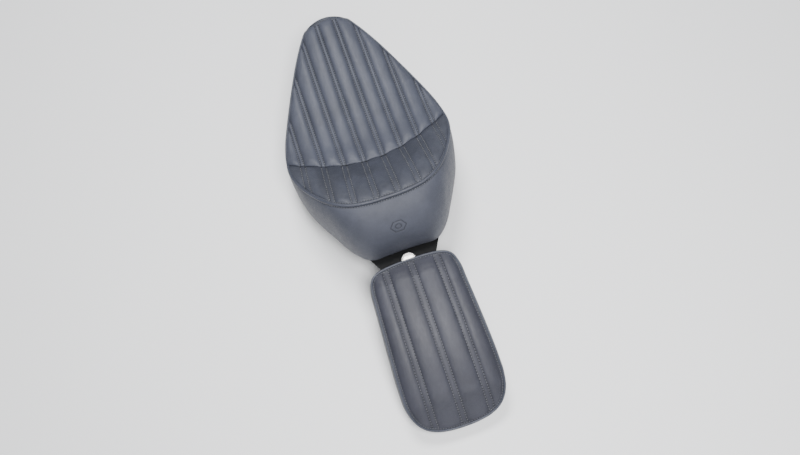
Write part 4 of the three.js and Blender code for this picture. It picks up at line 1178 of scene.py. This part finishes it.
def pad_cover():
    """The pad's top, its stitch lines and the row round its edge."""
    u = crowded(PAD_COLUMNS, 1.3)
    low, high = PAD_REAR + PAD_REAR_EASE, PAD_FRONT - PAD_FRONT_EASE
    middle_part = even(lambda k: rail(PAD_EDGE, k), low, high, 1.5)[1:-1]
    t = np.concatenate([np.linspace(PAD_REAR, low, 60), middle_part, np.linspace(high, PAD_FRONT, 44)])
    outer, normal, marks = lifted(pad_top, pad_relief, 1, u, t)
    at = sampler(outer, normal, pad_patch(*np.meshgrid(u, t))[..., 1] / STITCH, u, t)
    obj = hide("pad_top_cover", outer, normal, pad_leather, **marks)
    stand_in(obj, "passenger_pad", "leather", "pad_top_panel", "pad_quilting", fill=0.7)
    along = np.linspace(PAD_REAR + 0.02, PAD_FRONT - 0.02, 320)
    half = rail(PAD_EDGE, along)[:, 0]
    for line in pad_lines(along)[1:-1]:
        across = crossing(pad_patch, line, along, half)
        y = pad_patch(across, along)[:, 1]
        inside = (y > pad_end(line, -1) + PAD_ROW) & (y < pad_end(line, 1) - PAD_ROW)
        pad_seams.append(at(across[inside], along[inside]))
    round_t = even(lambda k: rail(PAD_EDGE, k), 0, PAD_END, 1.4)
    row = inset(PAD_EDGE, both_sides(round_t), PAD_ROW)
    spots = [locate(p) for p in row]
    points, up, _ = at(np.array([p[0] for p in spots]), np.array([p[1] for p in spots]))
    pad_seams.append((points, up, arc(points) / STITCH))


def locate(point):
    """The pad patch's (u, t) above a point of the unrolled pad, by Newton's method."""
    usual_half = 76
    u, t = point[0] / usual_half, float(np.interp(point[1], PAD_EDGE[:, 1], np.arange(len(PAD_EDGE))))
    for _ in range(12):
        t = min(max(t, PAD_REAR), PAD_FRONT)
        spots = pad_patch(np.array([u, u + 1e-3, u]), np.array([t, t, t + 1e-3]))[:, :2]
        slopes = (spots[1:] - spots[0]).T / 1e-3
        du, dt = np.linalg.lstsq(slopes, point[:2] - spots[0], rcond=None)[0]
        u, t = u + float(np.clip(du, -0.2, 0.2)), t + float(np.clip(dt, -0.6, 0.6))
    return min(max(u, -1), 1), min(max(t, PAD_REAR), PAD_FRONT)


def pad_side():
    """The pad's side band, rounded under and folded over its pan as a hem."""
    t = both_sides(even(lambda k: rail(PAD_HEM, k), 0, PAD_END, 1.3), closed=True)
    s = np.linspace(0, 1, PAD_SIDE_ROWS)
    s_grid, t_grid = np.meshgrid(s, t, indexing="ij")
    edge, hem = rail(PAD_EDGE, t_grid), rail(PAD_HEM, t_grid)
    out = np.sin(s_grid * math.pi / 2) ** 0.8
    round_over = 1.6
    flat = lerp(edge, hem, stack(out, out, s_grid)) + stack(0, 0, round_over * s_grid ** 4)
    outward = hem - inset(PAD_HEM, t_grid, 1.0)
    down = s_grid * PAD_SIDE_DEPTH
    row = down - PAD_SIDE_ROW
    swell = 1.3 * np.sin(s_grid * math.pi) - 0.8 * trough(down, 2.2) - 0.3 * trough(row, 0.9)
    flat = flat + outward * (swell + 0.3 * fractal(flat, 22, 4.4) * np.sin(s_grid * math.pi))[..., None]
    under = folded_hem(PAD_HEM, t, round_over, rows=(4, 7), pleat=0.4, size=6, seed=7.7)
    outer = notched(bend(np.concatenate([flat, under])))
    normal = -grid_normals(outer, True)
    # painted shade: darkens the groove under the welt and the stitch row
    crease = np.maximum(0.7 * trough(down, 1.6), 0.3 * trough(row, 0.7))
    marks = {"crease": crease, "row": trough(row, 0.7), "phase": arc(flat, 1) / STITCH}
    marks = marked_wall(marks, under)
    obj = hide("pad_side_cover", outer, normal, pad_leather, flip=True, round_columns=True, **marks)
    stand_in(obj, "passenger_pad", "leather", "pad_side_band", "pad_foam", fill=0.8)
    stitched = int(round(PAD_SIDE_ROW / PAD_SIDE_DEPTH * (len(s) - 1)))
    pad_seams.append((outer[stitched], normal[stitched], marks["phase"][stitched]))


def pad_welt():
    """The welt all round the pad's edge."""
    t = both_sides(even(lambda k: rail(PAD_EDGE, k), 0, PAD_END, WELT_STEP), closed=True)
    path = bend(rail(PAD_EDGE, t) + stack(0, 0, 0.5))
    obj = bead("pad_welt_bead", path, beaded(PAD_BEAD, len(t)), welt_leather, closed=True)
    stand_in(obj, "passenger_pad", "welt_leather", "pad_welt")


def pad_base():
    """The pad's moulded pan, with two long ribs and cross ribs under it."""
    u = np.linspace(-1, 1, 121)
    t = np.linspace(PAD_REAR, PAD_FRONT, 190)
    t_grid, u_grid = np.meshgrid(t, u, indexing="ij")
    flat = pad_pan_patch(u_grid, t_grid)
    x, y, _ = np.moveaxis(flat, -1, 0)
    ends = smooth((y - PAD_RIBS["rear"]) / 8) * smooth((PAD_RIBS["front"] - y) / 6)
    inside = smooth((1 - np.abs(u_grid)) / 0.12) * ends
    ribs = ribs_of(PAD_RIBS, x, y, clear=smooth((RIB_CLEAR - np.abs(x)) / 4))
    low = notched(bend(flat - stack(0, 0, ribs * inside)))
    high = notched(bend(flat + stack(0, 0, PAN)))
    obj = shell("pad_base", low, high, black_plastic, flip=True, sharp=50)
    stand_in(obj, "passenger_pad", "pan_plastic", "pad_pan")


# ---------- studio ----------

def camera():
    """The photographer's place: above and behind the seat set, turned a little round its line of sight."""
    azimuth, elevation, roll = map(math.radians, (7.95, 70.0, -11.37))
    distance, target = 1.3144, Vector((0.0027, 0.047, 0.04))
    level = math.cos(elevation)
    look = Vector((math.sin(azimuth) * level, math.cos(azimuth) * level, -math.sin(elevation)))
    right = Vector((math.cos(azimuth), -math.sin(azimuth), 0))
    up = right.cross(look)
    across = right * math.cos(roll) + up * math.sin(roll)
    above = up * math.cos(roll) - right * math.sin(roll)
    data = bpy.data.cameras.new("photo_camera")
    data.lens, data.sensor_width = 38, 36
    data.clip_start, data.clip_end = 0.05, 20
    obj = bpy.data.objects.new("photo_camera", data)
    bpy.context.scene.collection.objects.link(obj)
    turn = Matrix((across, above, -look)).transposed()
    obj.matrix_world = Matrix.Translation(target - look * distance) @ turn.to_4x4()
    bpy.context.scene.camera = obj


def lamp(name, place, aim, size, power):
    """A round softbox. Places and size are in metres, and power in watts."""
    data = bpy.data.lights.new(name, "AREA")
    data.shape, data.size, data.energy = "DISK", size, power
    obj = bpy.data.objects.new(name, data)
    bpy.context.scene.collection.objects.link(obj)
    obj.location = place
    obj.rotation_mode = "QUATERNION"
    obj.rotation_quaternion = (Vector(aim) - Vector(place)).to_track_quat("-Z", "Y")


def studio():
    """A pale floor, a dim even sky and three softboxes."""
    n = Nodes("pale_floor")
    tone = n.mix(n.noise(900, 2), (0.84, 0.845, 0.86, 1), (0.88, 0.885, 0.895, 1))
    floor_finish = n.finish(Base_Color=tone, Roughness=0.6)
    size, height = 6000, cad_low[2] / MM - 3
    corners = [(-size, -size, height), (size, -size, height), (size, size, height), (-size, size, height)]
    build("floor", corners, [(0, 1, 2, 3)], floor_finish)
    world = bpy.data.worlds.new("studio")
    bpy.context.scene.world = world
    world.use_nodes = True
    sky = world.node_tree.nodes["Background"]
    sky.inputs["Color"].default_value = (0.93, 0.96, 1.0, 1)
    sky.inputs["Strength"].default_value = 0.2
    lamp("rear_softbox", (0.12, -0.6, 1.85), (0, 0.1, 0), 0.7, 56)
    lamp("low_fill", (0.1, -1.7, 0.9), (0, 0, 0.03), 0.9, 9)
    lamp("front_softbox", (0.05, 0.95, 1.9), (0, 0.2, 0), 0.75, 44)


camera()
studio()
top_cover()
band_cover()
wrap_cover()
seat_welt()
nose_trim()
sew("seat_stitching", seams, "rider_seat", grey_thread)
rider_pan()
staples("seat_hem_staples", SEAT_HEM, 1.1, SEAT_END - 0.4, "rider_seat")
pad_cover()
pad_side()
pad_welt()
sew("pad_stitching", pad_seams, "passenger_pad", grey_thread)
pad_base()
staples("pad_hem_staples", PAD_HEM, 0.3, PAD_END - 0.8, "passenger_pad", bend)
thumb_screw()
washers_and_nut()
rivets()
bumpers()
steelwork()
